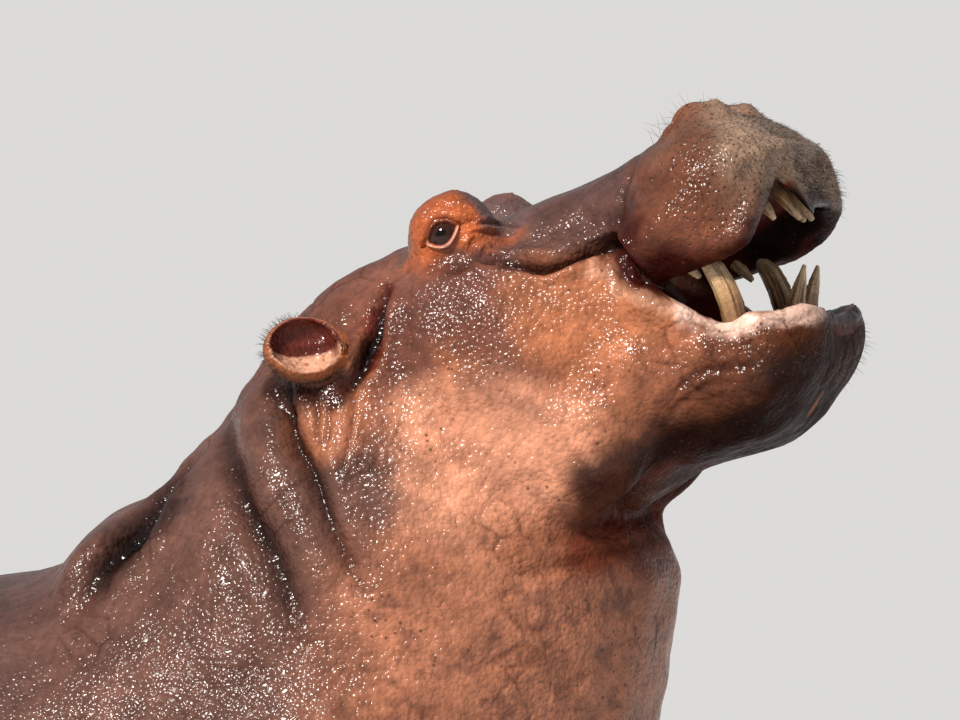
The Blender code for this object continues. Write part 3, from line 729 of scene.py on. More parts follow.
class Skin:
    """The skin's vertices in each frame, with masks for its regions."""

    def __init__(self, mesh, lid_gap, lid_above):
        self.lid_gap, self.lid_above = lid_gap, lid_above
        self.normal = normals(mesh)
        co = coordinates(mesh)
        self.left = np.sign(co[:, 1])
        self.head, self.jaw, self.body = (local(co, turned) for turned in FRAMES.values())
        self.mouth = np.maximum(in_mouth(self.head, UPPER_MOUTH), in_mouth(self.jaw, LOWER_MOUTH))
        from_face = length(self.head - FACE_MIDDLE)
        self.on_head = step(from_face, 0.52, 0.46)
        self.near_head = step(from_face, 0.44, 0.36)
        self.muzzle = step(self.head[:, 0], 0.20, 0.25) * step(self.head[:, 2], -0.24, -0.21) * self.near_head
        self.eye = step(length(self.head - (0.012, 0.14, 0.0)), 0.075, 0.045)
        self.ear_place = turned_by(self.head, ear_frame().inverted())
        near_ear = step(length(self.ear_place - EAR_MIDDLE), 0.075, 0.062)
        near_ear *= step(np.abs(ear_field(self.ear_place)), 0.009, 0.004)
        self.ear = near_ear * step(self.ear_place[:, 0], 0.0, 0.012)


def streaks(places, sizes, seed):
    """Smooth noise from about -1 to 1, with blots of three sizes along the three axes."""
    return grain(places / sizes, 1.0, seed)


def wrinkles(skin):
    """The skin's cracks, pebbles and folds: a height for each vertex, and how deep in a crack it lies."""
    x, y, z = skin.body.T
    coarse = step(cells(warp(skin.body, 0.10, 0.022) * (1, 0.8, 1), 0.048), 0.0, 0.11)
    fine = step(cells(warp(skin.body, 0.03, 0.006), 0.017), 0.0, 0.22)
    patchy = step(grain(skin.body, 0.11, 7.0), 0.0, 0.45)
    rough = 1 - np.maximum.reduce([skin.mouth, 0.85 * skin.ear, 0.75 * skin.muzzle, 0.85 * skin.eye])
    crack = (1 - coarse) * patchy * rough
    lift = -0.0015 * crack - 0.0004 * (1 - fine) * rough
    lift += 0.0024 * grain(skin.body, 0.050, 21.0) * (0.3 + 0.7 * rough) * (1 - skin.mouth)
    # rolls across the neck, which run down and back
    turn = math.radians(62)
    across = x * math.sin(turn) + z * math.cos(turn)
    down = x * math.cos(turn) - z * math.sin(turn)
    rolled = np.stack([across, down, y], 1)
    neck = band(x, 0.15, 0.40, 0.70, 0.80) * step(z, 0.85, 1.05)
    lift += 0.0026 * streaks(rolled, (0.028, 0.16, 0.12), 3.0) * neck
    sagging = np.stack([x, y, z + 0.3 * y], 1)
    chest = step(x, 0.66, 0.82) * band(z, 0.5, 0.7, 1.22, 1.38)
    lift += 0.0042 * streaks(sagging, (0.15, 0.10, 0.055), 17.0) * chest
    # low folds over trunk and legs
    trunk = step(x, 0.55, 0.30) * step(z, 0.30, 0.45)
    lift += 0.0045 * streaks(skin.body, (0.07, 0.22, 0.26), 11.0) * trunk
    lift += 0.0055 * streaks(skin.body, (0.16, 0.16, 0.022), 5.0) * band(z, 0.085, 0.12, 0.22, 0.42)
    # fine creases round the eyes
    close = grain(skin.head * (1.0, 1.0, 1.8), 0.007, 2.0)
    ringed = np.stack([skin.lid_gap, skin.head[:, 0], skin.head[:, 2]], 1)
    folded = streaks(ringed, (0.0045, 0.022, 0.022), 8.0)
    lift += (0.0006 * close + 0.0013 * folded) * skin.eye * step(skin.lid_gap, 0.010, 0.018)
    return lift, crack + 0.25 * (1 - fine) * rough


def hollows(mesh, links, passes, full):
    """How deep in a crease each vertex lies, 0 to 1: full is a depth that counts as wholly in it."""
    co = coordinates(mesh)
    mean = co
    ones = np.ones(len(co))
    for _ in range(passes):
        mean = pull_to_mean(mean, links, 0.9 * ones)
    depth = np.einsum("ij,ij->i", mean - co, normals(mesh))
    return np.clip(depth / full, 0, 1)


# ---------------------------------------------------------------- markings

# Colours of the hide. Several are painted shade: the undersides of muzzle and jaw, the chin's front, the
# upper lip's hem, the ear's upper hollow and the skin under and before it, the lids over the eyes, and the
# nape's hump. The throat is partly painted shade, and the muzzle's front is its own pale colour made lighter
# still as painted light.
COLOURS = {
    "back": (0.105, 0.056, 0.048),
    "flank": (0.130, 0.068, 0.054),
    "belly": (0.330, 0.155, 0.105),
    "leg": (0.120, 0.066, 0.052),
    "neck": (0.130, 0.058, 0.043),
    "nape": (0.150, 0.050, 0.030),
    "low neck": (0.430, 0.165, 0.090),
    "throat": (0.150, 0.032, 0.015),
    "face": (0.270, 0.090, 0.042),
    "crown": (0.220, 0.080, 0.050),
    "bridge": (0.110, 0.052, 0.042),
    "muzzle": (0.135, 0.044, 0.022),
    "muzzle front": (0.360, 0.230, 0.155),
    "muzzle underside shade": (0.040, 0.005, 0.003),
    "eye dome": (0.430, 0.105, 0.034),
    "dark cheek": (0.130, 0.047, 0.033),
    "cheek": (0.500, 0.175, 0.080),
    "pink cheek": (0.720, 0.310, 0.185),
    "cheek edge": (0.700, 0.330, 0.200),
    "lip": (0.850, 0.560, 0.450),
    "jaw": (0.130, 0.040, 0.018),
    "near-black shade": (0.014, 0.003, 0.002),
    "chin": (0.034, 0.014, 0.010),
    "hem": (0.014, 0.006, 0.005),
    "ear": (0.430, 0.130, 0.050),
    "ear inside": (0.680, 0.360, 0.240),
    "deep ear shade": (0.085, 0.003, 0.002),
    "ear shadow": (0.045, 0.011, 0.007),
    "ear root": (0.360, 0.130, 0.065),
    "nostril": (0.430, 0.150, 0.080),
    "lining": (0.130, 0.020, 0.013),
    "lid rim": (0.700, 0.380, 0.290),
    "lid shade": (0.060, 0.012, 0.006),
    "brow": (0.150, 0.085, 0.078),
}
# Patches of colour, each along a line of points in the side view of its frame, with a half width, the soft
# edge's share of it, a strength, and its nearest and farthest place from the middle plane.
ALL = (0, 1000)
CHEEK = (100, 1000)
NARROW = 9.5  # patches up to this half width keep a sharp line
PATCHES = [  # colour, frame, points and half width, softness, strength, where across; lengths in millimetres
    ("nape", "head", [(-300, 20), (-160, 30), (-80, 30)], 90, 0.6, 1.0, ALL),
    ("crown", "head", [(-120, -10), (-70, -10)], 34, 0.6, 0.8, (80, 1000)),
    ("bridge", "head", [(30, 0), (200, -30), (260, -50)], 60, 0.5, 1.0, ALL),
    ("bridge", "head", [(50, -50), (100, -78), (160, -92), (214, -98)], 24, 0.45, 1.0, ALL),
    ("dark cheek", "head", [(-50, -65), (0, -80), (70, -125), (100, -155)], 36, 0.7, 0.85, CHEEK),
    ("dark cheek", "head", [(-60, -70), (-100, -110), (-120, -160)], 40, 0.7, 0.9, CHEEK),
    ("dark cheek", "head", [(10, -120), (30, -200), (-10, -240)], 55, 0.8, 0.85, CHEEK),
    ("dark cheek", "head", [(60, -120), (120, -145), (150, -165)], 30, 0.8, 0.8, CHEEK),
    ("dark cheek", "head", [(-170, -200), (-150, -260)], 35, 0.9, 0.6, CHEEK),
    ("cheek", "head", [(100, -170), (160, -200), (180, -260), (100, -290)], 60, 0.7, 0.9, CHEEK),
    ("pink cheek", "head", [(-110, -240), (-30, -270), (20, -330), (-120, -310)], 62, 0.7, 0.9, CHEEK),
    # painted shadow in the crease under the bridge's roll and down behind the cheek's edge
    ("ear shadow", "head", [(60, -78), (109, -110), (160, -121), (205, -126)], 6, 0.9, 0.9, CHEEK),
    ("ear shadow", "head", [(205, -126), (214, -155), (222, -190)], 7, 0.8, 0.95, CHEEK),
    (
        "cheek edge",
        "head",
        [(165, -140), (188, -148), (200, -190), (216, -226), (235, -246)],
        14,
        0.6,
        1.0,
        CHEEK,
    ),
    ("brow", "head", [(-15, 10), (20, 22), (50, 8)], 50, 0.6, 1.0, (50, 120)),
    ("eye dome", "head", [(-15, 10), (20, 22), (50, 8)], 40, 0.5, 1.0, (136, 1000)),
    ("eye dome", "head", [(30, -22), (52, -28), (66, -36)], 18, 1.0, 0.75, (105, 1000)),
    # painted shade in the crease before the ear
    ("deep ear shade", "head", [(-100, -25), (-120, -62), (-145, -95), (-185, -120)], 10, 0.9, 0.8, CHEEK),
    # the muzzle's front: its own pale grey-brown, made lighter still as painted light where the key light
    # reaches it little
    ("muzzle front", "head", [(420, -20), (450, -100), (440, -190)], 65, 0.8, 1.0, ALL),
    ("muzzle front", "head", [(340, -20), (420, -50)], 40, 0.8, 0.7, ALL),
    # painted shade under the muzzle, near black
    ("muzzle underside shade", "head", [(220, -140), (240, -190), (320, -215), (400, -205)], 36, 0.8, 1.0, (60, 1000)),
    ("nostril", "head", [(318, -30), (334, -14), (358, -6)], 9, 0.7, 0.9, (30, 110)),
    ("jaw", "jaw", [(240, -260), (340, -250), (420, -240)], 45, 0.8, 1.0, ALL),
    # painted shade, near black, on the jaw's underside and lower side
    ("near-black shade", "jaw", [(450, -300), (380, -330), (300, -360), (200, -370)], 62, 0.8, 1.0, ALL),
    ("near-black shade", "jaw", [(220, -320), (320, -310), (440, -280)], 30, 0.9, 0.8, ALL),
    # painted shade on the front of the chin, near black
    ("chin", "jaw", [(445, -235), (475, -245), (470, -270)], 22, 0.8, 0.9, ALL),
    # dark red-brown under the jaw: partly the throat's own colour, partly painted shade
    ("throat", "jaw", [(160, -400), (100, -400), (60, -420)], 55, 0.8, 0.9, ALL),
    # painted shade at the jaw's angle
    ("near-black shade", "jaw", [(85, -345), (135, -328), (190, -322)], 34, 0.9, 0.85, ALL),
    # painted shadow on the nape's hump, in the body's frame
    ("near-black shade", "body", [(440, 1410), (405, 1350), (370, 1300)], 30, 0.9, 0.8, ALL),
    ("lip", "jaw", [(252, -168), (300, -185), (340, -197)], 19, 0.55, 1.0, (50, 1000)),
    ("lip", "jaw", [(330, -195), (390, -201), (430, -197), (474, -198)], 16, 0.5, 0.8, ALL),
    ("crown", "head", [(110, -305), (180, -295)], 32, 0.9, 0.45, CHEEK),
    # painted shade on the hem and inner rim of the upper lip, at its front and along its near edge
    ("hem", "head", [(474, -186), (480, -215), (468, -245)], 13, 0.6, 0.95, ALL),
    ("hem", "head", [(285, -219), (355, -218), (400, -207), (435, -192), (452, -176)], 10, 0.6, 0.9, ALL),
]


def to_line(places, points):
    """The distance in the side view from each place to a line of points."""
    flat = places[:, [0, 2]]
    best = np.full(len(places), np.inf)
    points = np.array(points, float)
    for a, b in zip(points, points[1:]):
        span = b - a
        t = np.clip((flat - a) @ span / (span @ span), 0, 1)
        best = np.minimum(best, length(flat - a - t[:, None] * span))
    return best


def ear_shadow(skin):
    """1 on the skin close under and before the ear, where a dark red painted shadow goes, 0 away from it."""
    before = [(-0.118, -0.060), (-0.150, -0.096), (-0.180, -0.118)]
    under = [(-0.185, -0.070), (-0.195, -0.107), (-0.205, -0.128), (-0.238, -0.108), (-0.285, -0.066)]
    near_before = step(to_line(skin.head, before), 0.016, 0.004)
    near_under = step(to_line(skin.head, under), 0.024, 0.010)
    return np.maximum(near_before, near_under) * step(skin.head[:, 1], 0.10, 0.14)


def lip_edge(skin):
    """1 on the pale edge of the lower lip's front, 0 away from it."""
    return step(to_line(skin.jaw, [(0.300, -0.185), (0.380, -0.199), (0.474, -0.198)]), 0.017, 0.008)


def body_layers(skin):
    """The colours of trunk, belly, legs and neck, and the face's ground with its blotches."""
    x, y, z = (skin.body + skin.drift).T
    yield "flank", step(z, 1.15, 0.85)
    yield "belly", step(z, 0.66, 0.44) * step(-skin.normal[:, 2], -0.3, 0.3)
    yield "leg", step(z, 0.52, 0.38)
    yield "belly", 0.6 * step(-skin.normal[:, 1] * skin.left, 0.2, 0.8) * step(z, 0.7, 0.5)
    yield "neck", step(x, 0.15, 0.35) * step(z, 0.9, 1.1)
    chest = step(x, 0.62, 0.80) * step(z - 0.5 * (x - 0.8), 1.44, 1.36) * step(z, 0.55, 0.80)
    yield "low neck", 0.85 * chest
    face = step(length((skin.head + skin.drift - (0.10, 0, -0.16)) / (0.36, 0.40, 0.27)), 1.02, 0.90)
    yield "face", face
    blotched = step(grain(skin.body, 0.045, 12.0) + 0.9 * grain(skin.body, 0.014, 14.0), 0.05, 0.60)
    yield "dark cheek", 0.52 * blotched * np.maximum(face, chest)


def patch_layers(skin):
    """The patches of the table. Broad ones follow the drifted places, so that their edges look natural."""
    for name, frame_name, points, half, softness, strength, (inner, outer) in PATCHES:
        places = getattr(skin, frame_name) + skin.drift * (half > NARROW)
        gap = to_line(places, np.array(points) * MM) / (half * MM)
        share = strength * step(gap, 1 + softness, 1 - softness)
        share *= band(places[:, 1], (inner - 20) * MM, inner * MM, outer * MM, (outer + 20) * MM)
        yield name, share if frame_name == "body" else share * skin.on_head
    x, _, z = (skin.head + skin.drift).T
    yield "muzzle", 0.8 * band(x, 0.235, 0.275, 0.36, 0.42) * step(z, -0.19, -0.15) * skin.on_head


def ear_layers(skin):
    """The ear: orange rim, lit and freckled lower wall, painted shade over the upper hollow, and a painted
    shadow round it.
    """
    beside_ear = skin.on_head * (1 - skin.ear)
    root = step(length((skin.head - (-0.23, 0.2, -0.15)) / (0.07, 0.2, 0.07)), 1.1, 0.6)
    yield "ear root", 0.85 * root * beside_ear
    # painted shadow under and before the ear
    yield "ear shadow", 0.95 * ear_shadow(skin) * beside_ear
    yield "crown", skin.ear
    yield "ear", skin.ear * step(skin.ear_place[:, 2], -0.006, 0.010)
    hollow = skin.ear * step(egg(skin.ear_place, *EAR_CUP), 0.0035, 0.0005)
    yield "ear inside", hollow
    yield "ear root", 0.8 * hollow * step(grain(skin.body, 0.006, 31.0), 0.28, 0.42)
    # painted shade over the upper half of the ear's hollow
    yield "deep ear shade", 0.94 * hollow * step((skin.ear_place + 0.12 * skin.drift)[:, 1], -0.005, 0.000)


def mouth_layers(skin):
    """The mouth's lining, and painted shade on the hem of the upper lip."""
    yield "lining", skin.mouth * (1 - lip_edge(skin))
    x, y, _ = skin.head.T
    front_or_side = np.maximum(step(x, 0.375, 0.395), step(y, 0.095, 0.115) * step(x, 0.24, 0.30))
    under = step((skin.head + skin.drift)[:, 2], -0.146, -0.158)
    # painted shade under the upper lip's front and sides
    yield "hem", in_mouth(skin.head, UPPER_MOUTH) * front_or_side * under


def lid_layers(skin):
    """The lids: painted shade on the edge and in the furrow over the eye and in the fissure, and a pale rim
    under it.
    """
    yield "lid shade", 0.8 * skin.lid_above * hill(skin.lid_gap, 0.0090, 0.0022)
    yield "lid shade", 0.9 * skin.lid_above * step(skin.lid_gap, 0.0040, 0.0010)
    yield "lid rim", (1 - skin.lid_above) * hill(skin.lid_gap, 0.0040, 0.0030)
    yield "lid shade", step(skin.lid_gap, 0.0006, -0.0006)


def markings(skin):
    """The skin's colours, from back to belly and from patch to patch."""
    skin.drift = warp(skin.body, 0.07, 0.030, 4.0) + warp(skin.body, 0.018, 0.009, 9.0) - 2 * skin.body
    colours = np.tile(COLOURS["back"], (len(skin.body), 1))
    parts = (body_layers, patch_layers, ear_layers, mouth_layers, lid_layers)
    for name, share in itertools.chain.from_iterable(part(skin) for part in parts):
        colours = mixed(colours, COLOURS[name], share)
    return colours.clip(0.002, 0.95)


# ---------------------------------------------------------------- materials


class Shader:
    """A Principled material, built node by node."""

    def __init__(self, name):
        self.material = bpy.data.materials.new(name)
        self.material.use_nodes = True
        self.tree = self.material.node_tree
        self.surface = self.tree.nodes["Principled BSDF"]
        self.place = self.node("TexCoord").outputs["Object"]
        self.relief = None

    def node(self, kind, settings=(), **inputs):
        """A node with its settings, and its inputs linked or set. An input's name has _ for a space."""
        made = self.tree.nodes.new(f"ShaderNode{kind}")
        for name, value in dict(settings).items():
            setattr(made, name, value)
        for name, value in inputs.items():
            self.put(made.inputs[name.replace("_", " ")], value)
        return made

    def put(self, socket, value):
        """Links a socket, or sets its own value."""
        if isinstance(value, bpy.types.NodeSocket):
            self.tree.links.new(value, socket)
        else:
            socket.default_value = value

    def look(self, **inputs):
        """The shader's own inputs."""
        for name, value in inputs.items():
            self.put(self.surface.inputs[name.replace("_", " ")], value)

    def attribute(self, name):
        """The painted colours of that name."""
        return self.node("Attribute", {"attribute_name": name}).outputs["Color"]

    def noise(self, scale, detail=3.0):
        """Noise from 0 to 1, with blots 1/scale metres wide."""
        found = self.node("TexNoise", Vector=self.place, Scale=scale, Detail=detail, Roughness=0.55)
        return found.outputs["Fac"]

    def varied(self, scale, low, high, detail=3.0):
        """Noise with most of its values spread from low to high."""
        return self.ranged(self.noise(scale, detail), 0.30, 0.70, low, high)

    def tinted(self, name, scale, low, high, detail=3.0):
        """The painted colours of that name, made darker and lighter by noise."""
        return self.mix(1.0, self.attribute(name), self.varied(scale, low, high, detail), "MULTIPLY")

    def warped(self, scale, amount):
        """The place shifted about by noise, so that cells have no straight edges."""
        drift = self.node("TexNoise", Vector=self.place, Scale=scale, Detail=2.0).outputs["Color"]
        shift = self.node("VectorMath", {"operation": "SCALE"}, Vector=drift, Scale=amount)
        added = self.node("VectorMath", {"operation": "ADD"})
        self.put(added.inputs[0], self.place)
        self.put(added.inputs[1], shift.outputs["Vector"])
        return added.outputs["Vector"]

    def cracks(self, scale, place, width):
        """0 on the edges between cells 1/scale metres wide, 1 inside them."""
        cell = self.node("TexVoronoi", {"feature": "DISTANCE_TO_EDGE"}, Vector=place, Scale=scale)
        return self.ranged(cell.outputs["Distance"], 0.0, width)

    def domes(self, scale, place):
        """Rounded pebbles 1/scale metres wide, 1 on top, with sharp valleys between them."""
        away = self.node("TexVoronoi", Vector=place, Scale=scale).outputs["Distance"]
        return self.ranged(self.times(away, away), 0.0, 0.5, 1.0, 0.0, "LINEAR")

    def dots(self, scale, place, low, high):
        """1 on dots, one in each cell 1/scale metres wide, 0 between them."""
        cell = self.node("TexVoronoi", Vector=place, Scale=scale)
        return self.ranged(cell.outputs["Distance"], low, high, 1.0, 0.0)

    def ranged(self, value, low, high, to_low=0.0, to_high=1.0, kind="SMOOTHSTEP"):
        """The value taken from one range to another, and kept in it."""
        limits = {"From_Min": low, "From_Max": high, "To_Min": to_low, "To_Max": to_high}
        return self.node("MapRange", {"interpolation_type": kind}, Value=value, **limits).outputs["Result"]

    def math(self, operation, one, two):
        """Arithmetic on two values."""
        found = self.node("Math", {"operation": operation})
        self.put(found.inputs[0], one)
        self.put(found.inputs[1], two)
        return found.outputs["Value"]

    def times(self, one, two):
        """The product of two values."""
        return self.math("MULTIPLY", one, two)

    def mix(self, share, one, two, blend="MIX"):
        """Two colours mixed."""
        found = self.node("Mix", {"data_type": "RGBA", "blend_type": blend})
        for socket, value in ((0, share), (6, one), (7, two)):
            self.put(found.inputs[socket], value)
        return found.outputs[2]

    def bump(self, height, depth, strength=1.0):
        """Height from 0 to 1 as relief of that depth in metres, over the relief made so far."""
        found = self.node("Bump", Height=height, Distance=depth, Strength=strength)
        if self.relief is not None:
            self.put(found.inputs["Normal"], self.relief)
        self.relief = found.outputs["Normal"]
        self.look(Normal=self.relief, Coat_Normal=self.relief)


PORE_COLOUR = (0.035, 0.016, 0.010, 1)
FRECKLE_COLOUR = (0.10, 0.035, 0.020, 1)
CRACK_SHADE = (0.30, 0.20, 0.17, 1)
TOOTH_CRACK_COLOUR = (0.16, 0.08, 0.035, 1)
TONGUE_COAT_COLOUR = (0.62, 0.33, 0.28, 1)
BRISTLE_COLOURS = ((0.022, 0.014, 0.010, 1), (0.10, 0.065, 0.045, 1))


def hide_material():
    """Wet hide: painted colour with blots, freckles and pores, painted shade in its cracks and seams, and
    relief that breaks the shine.
    """
    s = Shader("wet_hide")
    painted = s.node("Attribute", {"attribute_name": "hide_detail"})
    detail = s.node("SeparateColor", Color=painted.outputs["Color"])
    crack, pores, wet = (detail.outputs[name] for name in ("Red", "Green", "Blue"))
    warped = s.warped(25.0, 0.018)
    net = s.cracks(70.0, warped, 0.12)
    dry = s.ranged(wet, 0.0, 1.0, 1.0, 0.15)
    freckles = s.times(s.dots(75.0, s.place, 0.10, 0.24), s.ranged(s.noise(9.0), 0.42, 0.60, 0.0, 0.8))
    pore = s.times(s.dots(130.0, s.place, 0.12, 0.30), pores)
    seams = s.times(s.ranged(net, 0.0, 1.0, 1.0, 0.0), s.ranged(s.noise(20.0), 0.48, 0.66, 0.0, 0.40))
    colour = s.tinted("hide_colour", 14.0, 0.72, 1.18, 5.0)
    colour = s.mix(1.0, colour, s.varied(70.0, 0.82, 1.14, 4.0), "MULTIPLY")
    colour = s.mix(freckles, colour, FRECKLE_COLOUR)
    colour = s.mix(s.times(pore, 0.7), colour, PORE_COLOUR)
    # painted shade in the cracks and along the seams
    dark = s.math("MAXIMUM", s.times(crack, 0.5), seams)
    colour = s.mix(dark, colour, s.mix(1.0, colour, CRACK_SHADE, "MULTIPLY"))
    s.bump(net, 0.00020, dry)
    s.bump(s.domes(150.0, s.warped(120.0, 0.003)), 0.0009, dry)
    s.bump(s.domes(62.0, warped), 0.0016, s.times(dry, s.ranged(s.noise(13.0), 0.52, 0.62)))
    s.bump(s.noise(45.0, 1.0), 0.0010)
    s.bump(s.noise(420.0, 2.0), 0.00004)
    s.bump(s.ranged(pore, 0.0, 1.0, 1.0, 0.0), 0.0008)
    rough = s.math("SUBTRACT", s.varied(35.0, 0.34, 0.62, 4.0), s.times(wet, 0.12))
    s.look(Base_Color=colour, Roughness=rough, Specular_IOR_Level=0.03)
    s.look(Coat_Weight=painted.outputs["Alpha"], Coat_Roughness=0.17, Coat_IOR=1.42)
    return s.material


def ivory_material():
    """Tusk and tooth: painted stain with fine cracks along and across, and gloss that varies in patches."""
    s = Shader("ivory")
    net = s.cracks(300.0, s.warped(150.0, 0.004), 0.10)
    colour = s.tinted("ivory_colour", 160.0, 0.78, 1.14, 4.0)
    colour = s.mix(s.ranged(net, 0.0, 1.0, 0.35, 0.0), colour, TOOTH_CRACK_COLOUR)
    s.bump(net, 0.0002)
    s.bump(s.noise(500.0), 0.0003)
    s.look(Base_Color=colour, Roughness=s.varied(60.0, 0.28, 0.5), Coat_Weight=0.35, Coat_Roughness=0.12)
    return s.material


def eye_material():
    """The wet eyeball: dark brown iris with fine spokes, dim white and a clear shine."""
    s = Shader("eyeball")
    s.look(Base_Color=s.tinted("eye_colour", 600.0, 0.75, 1.2), Roughness=s.varied(200.0, 0.06, 0.14))
    s.look(Coat_Weight=0.6, Coat_Roughness=0.02, Specular_IOR_Level=0.1)
    return s.material


def tongue_material():
    """The tongue: wet pink flesh with small bumps and a paler coating."""
    s = Shader("tongue_flesh")
    coated = s.ranged(s.noise(40.0, 5.0), 0.45, 0.65, 0.0, 0.5)
    s.bump(s.dots(420.0, s.warped(90.0, 0.003), 0.15, 0.5), 0.0005)
    s.bump(s.noise(90.0), 0.0012)
    s.look(Base_Color=s.mix(coated, s.attribute("tongue_colour"), TONGUE_COAT_COLOUR))
    s.look(Roughness=s.varied(70.0, 0.3, 0.5), Coat_Weight=0.6, Coat_Roughness=0.1)
    return s.material


def horn_material():
    """Toenails: dark horn with growth rings, paler and scuffed at the edge."""
    s = Shader("horn")
    s.bump(s.noise(260.0, 4.0), 0.0004)
    s.look(Base_Color=s.tinted("horn_colour", 110.0, 0.65, 1.25, 4.0), Roughness=s.varied(80.0, 0.35, 0.6))
    return s.material


def bristle_material():
    """Dark bristles, paler in places."""
    s = Shader("bristle")
    colour = s.mix(s.ranged(s.noise(150.0), 0.35, 0.65), *BRISTLE_COLOURS)
    s.look(Base_Color=colour, Roughness=s.varied(90.0, 0.3, 0.5))
    return s.material


# ---------------------------------------------------------------- eyes, teeth, tongue and nails

CORNEA_ANGLE = 0.62  # from the line of sight to the cornea's edge
CORNEA_RISE = 0.0010
IRIS_ANGLE = 0.60
PUPIL = (0.30, 0.17)  # half width and half height, as angles
WHITE_OF_EYE = (0.045, 0.012, 0.008)
IRIS_BROWN = np.array((0.022, 0.007, 0.004))
IRIS_AMBER = (0.050, 0.016, 0.007)
IVORY_PALE = (0.78, 0.54, 0.31)
IVORY_TAN = np.array((0.52, 0.29, 0.13))
IVORY_STAIN = (0.11, 0.042, 0.014)
MOLAR_PALE = (0.66, 0.46, 0.26)
MOLAR_STAIN = np.array((0.16, 0.075, 0.035))
TONGUE_PINK = np.array((0.46, 0.14, 0.11))
TONGUE_RED = (0.24, 0.040, 0.030)
NAIL_DARK = np.array((0.075, 0.045, 0.034))
NAIL_PALE = (0.27, 0.18, 0.12)
TOOTH_VOXEL = 0.0018
NAIL_VOXEL = 0.0022
TONGUE_VOXEL = 0.004


def eyeball(side, material):
    """A detailed eyeball: a shallow cornea over a spoked iris with a broad dark pupil."""
    bm = bmesh.new()
    bmesh.ops.create_uvsphere(bm, u_segments=64, v_segments=48, radius=EYE_RADIUS - 0.0002)
    obj = new_object(f"eyeball_{side}", mesh_of(bm, "eyeball"))
    co = coordinates(obj.data) @ eye_axes(side)[[1, 2, 0]]
    depth, ahead, up = (co @ eye_axes(side).T).T
    angle = np.arccos(np.clip(depth / length(co), -1, 1))
    spoke = np.arctan2(up, ahead)
    rise = CORNEA_RISE * (1 - np.clip(angle / CORNEA_ANGLE, 0, 1) ** 2)
    set_coordinates(obj.data, co * (1 + rise / EYE_RADIUS)[:, None] + np.array(EYE[side]))
    iris = 0.5 + 0.5 * np.sin(23 * spoke) * np.sin(7 * spoke + 1.3)
    colours = mixed(IRIS_BROWN, IRIS_AMBER, iris * hill(angle, 0.42, 0.14))
    colours = mixed(colours, WHITE_OF_EYE, step(angle, IRIS_ANGLE - 0.04, IRIS_ANGLE + 0.10))
    reach = np.hypot(angle * np.cos(spoke) / PUPIL[0], angle * np.sin(spoke) / PUPIL[1])
    colours = colours * (0.10 + 0.90 * step(reach, 0.85, 1.15))[:, None]
    paint(obj.data, "eye_colour", colours)
    finish_piece(obj, material, "eye", f"eye_{side}")


def fine_copy(node, voxel):
    """A new piece with a CAD node's shape in fine even squares, its facets smoothed away."""
    obj = new_object(f"fine_{node}", mesh_of(cad_mesh(node), "fine"))
    remeshed(obj, voxel)
    softened(obj.data, np.ones(len(obj.data.vertices)), 8)
    return obj


def round_axis(co):
    """How far each point is along a bent rod, 0 to 1 from its lower end, and its angle round the rod."""
    middle = co.mean(0)
    axis = np.linalg.svd(co - middle, full_matrices=False)[2][0]
    axis = axis * np.sign(axis[2])
    along = (co - middle) @ axis
    across = co - middle - along[:, None] * axis
    line = np.stack([np.polyval(np.polyfit(along, across[:, k], 3), along) for k in range(3)], 1)
    arm = across - line
    side = np.cross(axis, (1.0, 0, 0))
    side /= np.linalg.norm(side)
    angle = np.arctan2(arm @ side, arm @ np.cross(axis, side))
    return (along - along.min()) / np.ptp(along), angle


def tusk(node, material):
    """A canine or incisor with ribs and furrows along it, stained in the furrows and near the gum."""
    obj = fine_copy(node, TOOTH_VOXEL)
    along, angle = round_axis(coordinates(obj.data))
    if node.startswith("upper"):
        along = 1 - along
    seed = 7.0 * (len(node) % 5) + ("left" in node)
    spun = np.stack([np.cos(angle), np.sin(angle), along * 0.5], 1)
    ribs = grain(spun, 0.22, seed) + 0.6 * grain(spun, 0.11, seed + 3)
    rings = grain(np.stack([along * 40, np.cos(angle), np.sin(angle)], 1), 1.0, seed + 5)
    fade = step(along, 0.98, 0.80)
    lifted(obj.data, (0.0016 * ribs + 0.00015 * rings) * fade)
    colours = mixed(IVORY_TAN, IVORY_PALE, step(along, 0.45, 0.95))
    colours = mixed(colours, IVORY_STAIN, 0.75 * step(-ribs, 0.05, 0.45) * (0.25 + 0.75 * fade))
    colours = mixed(colours, IVORY_STAIN, 0.6 * step(along + 0.08 * ribs, 0.62, 0.38))
    paint(obj.data, "ivory_colour", colours)
    finish_piece(obj, material, "ivory", node)


def cheek_row(node, material):
    """A row of grinding teeth with worn, hollowed tops and dark seams between them."""
    obj = fine_copy(node, TOOTH_VOXEL)
    turned, up = (HEAD, -1.0) if node.startswith("upper") else (JAW, 1.0)
    places = local(coordinates(obj.data), turned)
    rough = grain(places, 0.006, 1.0)
    facing = turned_by(normals(obj.data), turned.inverted().to_3x3().to_4x4())[:, 2] * up
    lifted(obj.data, 0.0007 * rough - 0.0016 * step(facing, 0.5, 0.9) * grain(places, 0.009, 4.0))
    top = places[:, 2] * up
    crown = step(top, top.max() - 0.022, top.max())
    paint(obj.data, "ivory_colour", mixed(MOLAR_STAIN, MOLAR_PALE, crown * (0.75 + 0.25 * rough).clip(0, 1)))
    finish_piece(obj, material, "ivory", node)


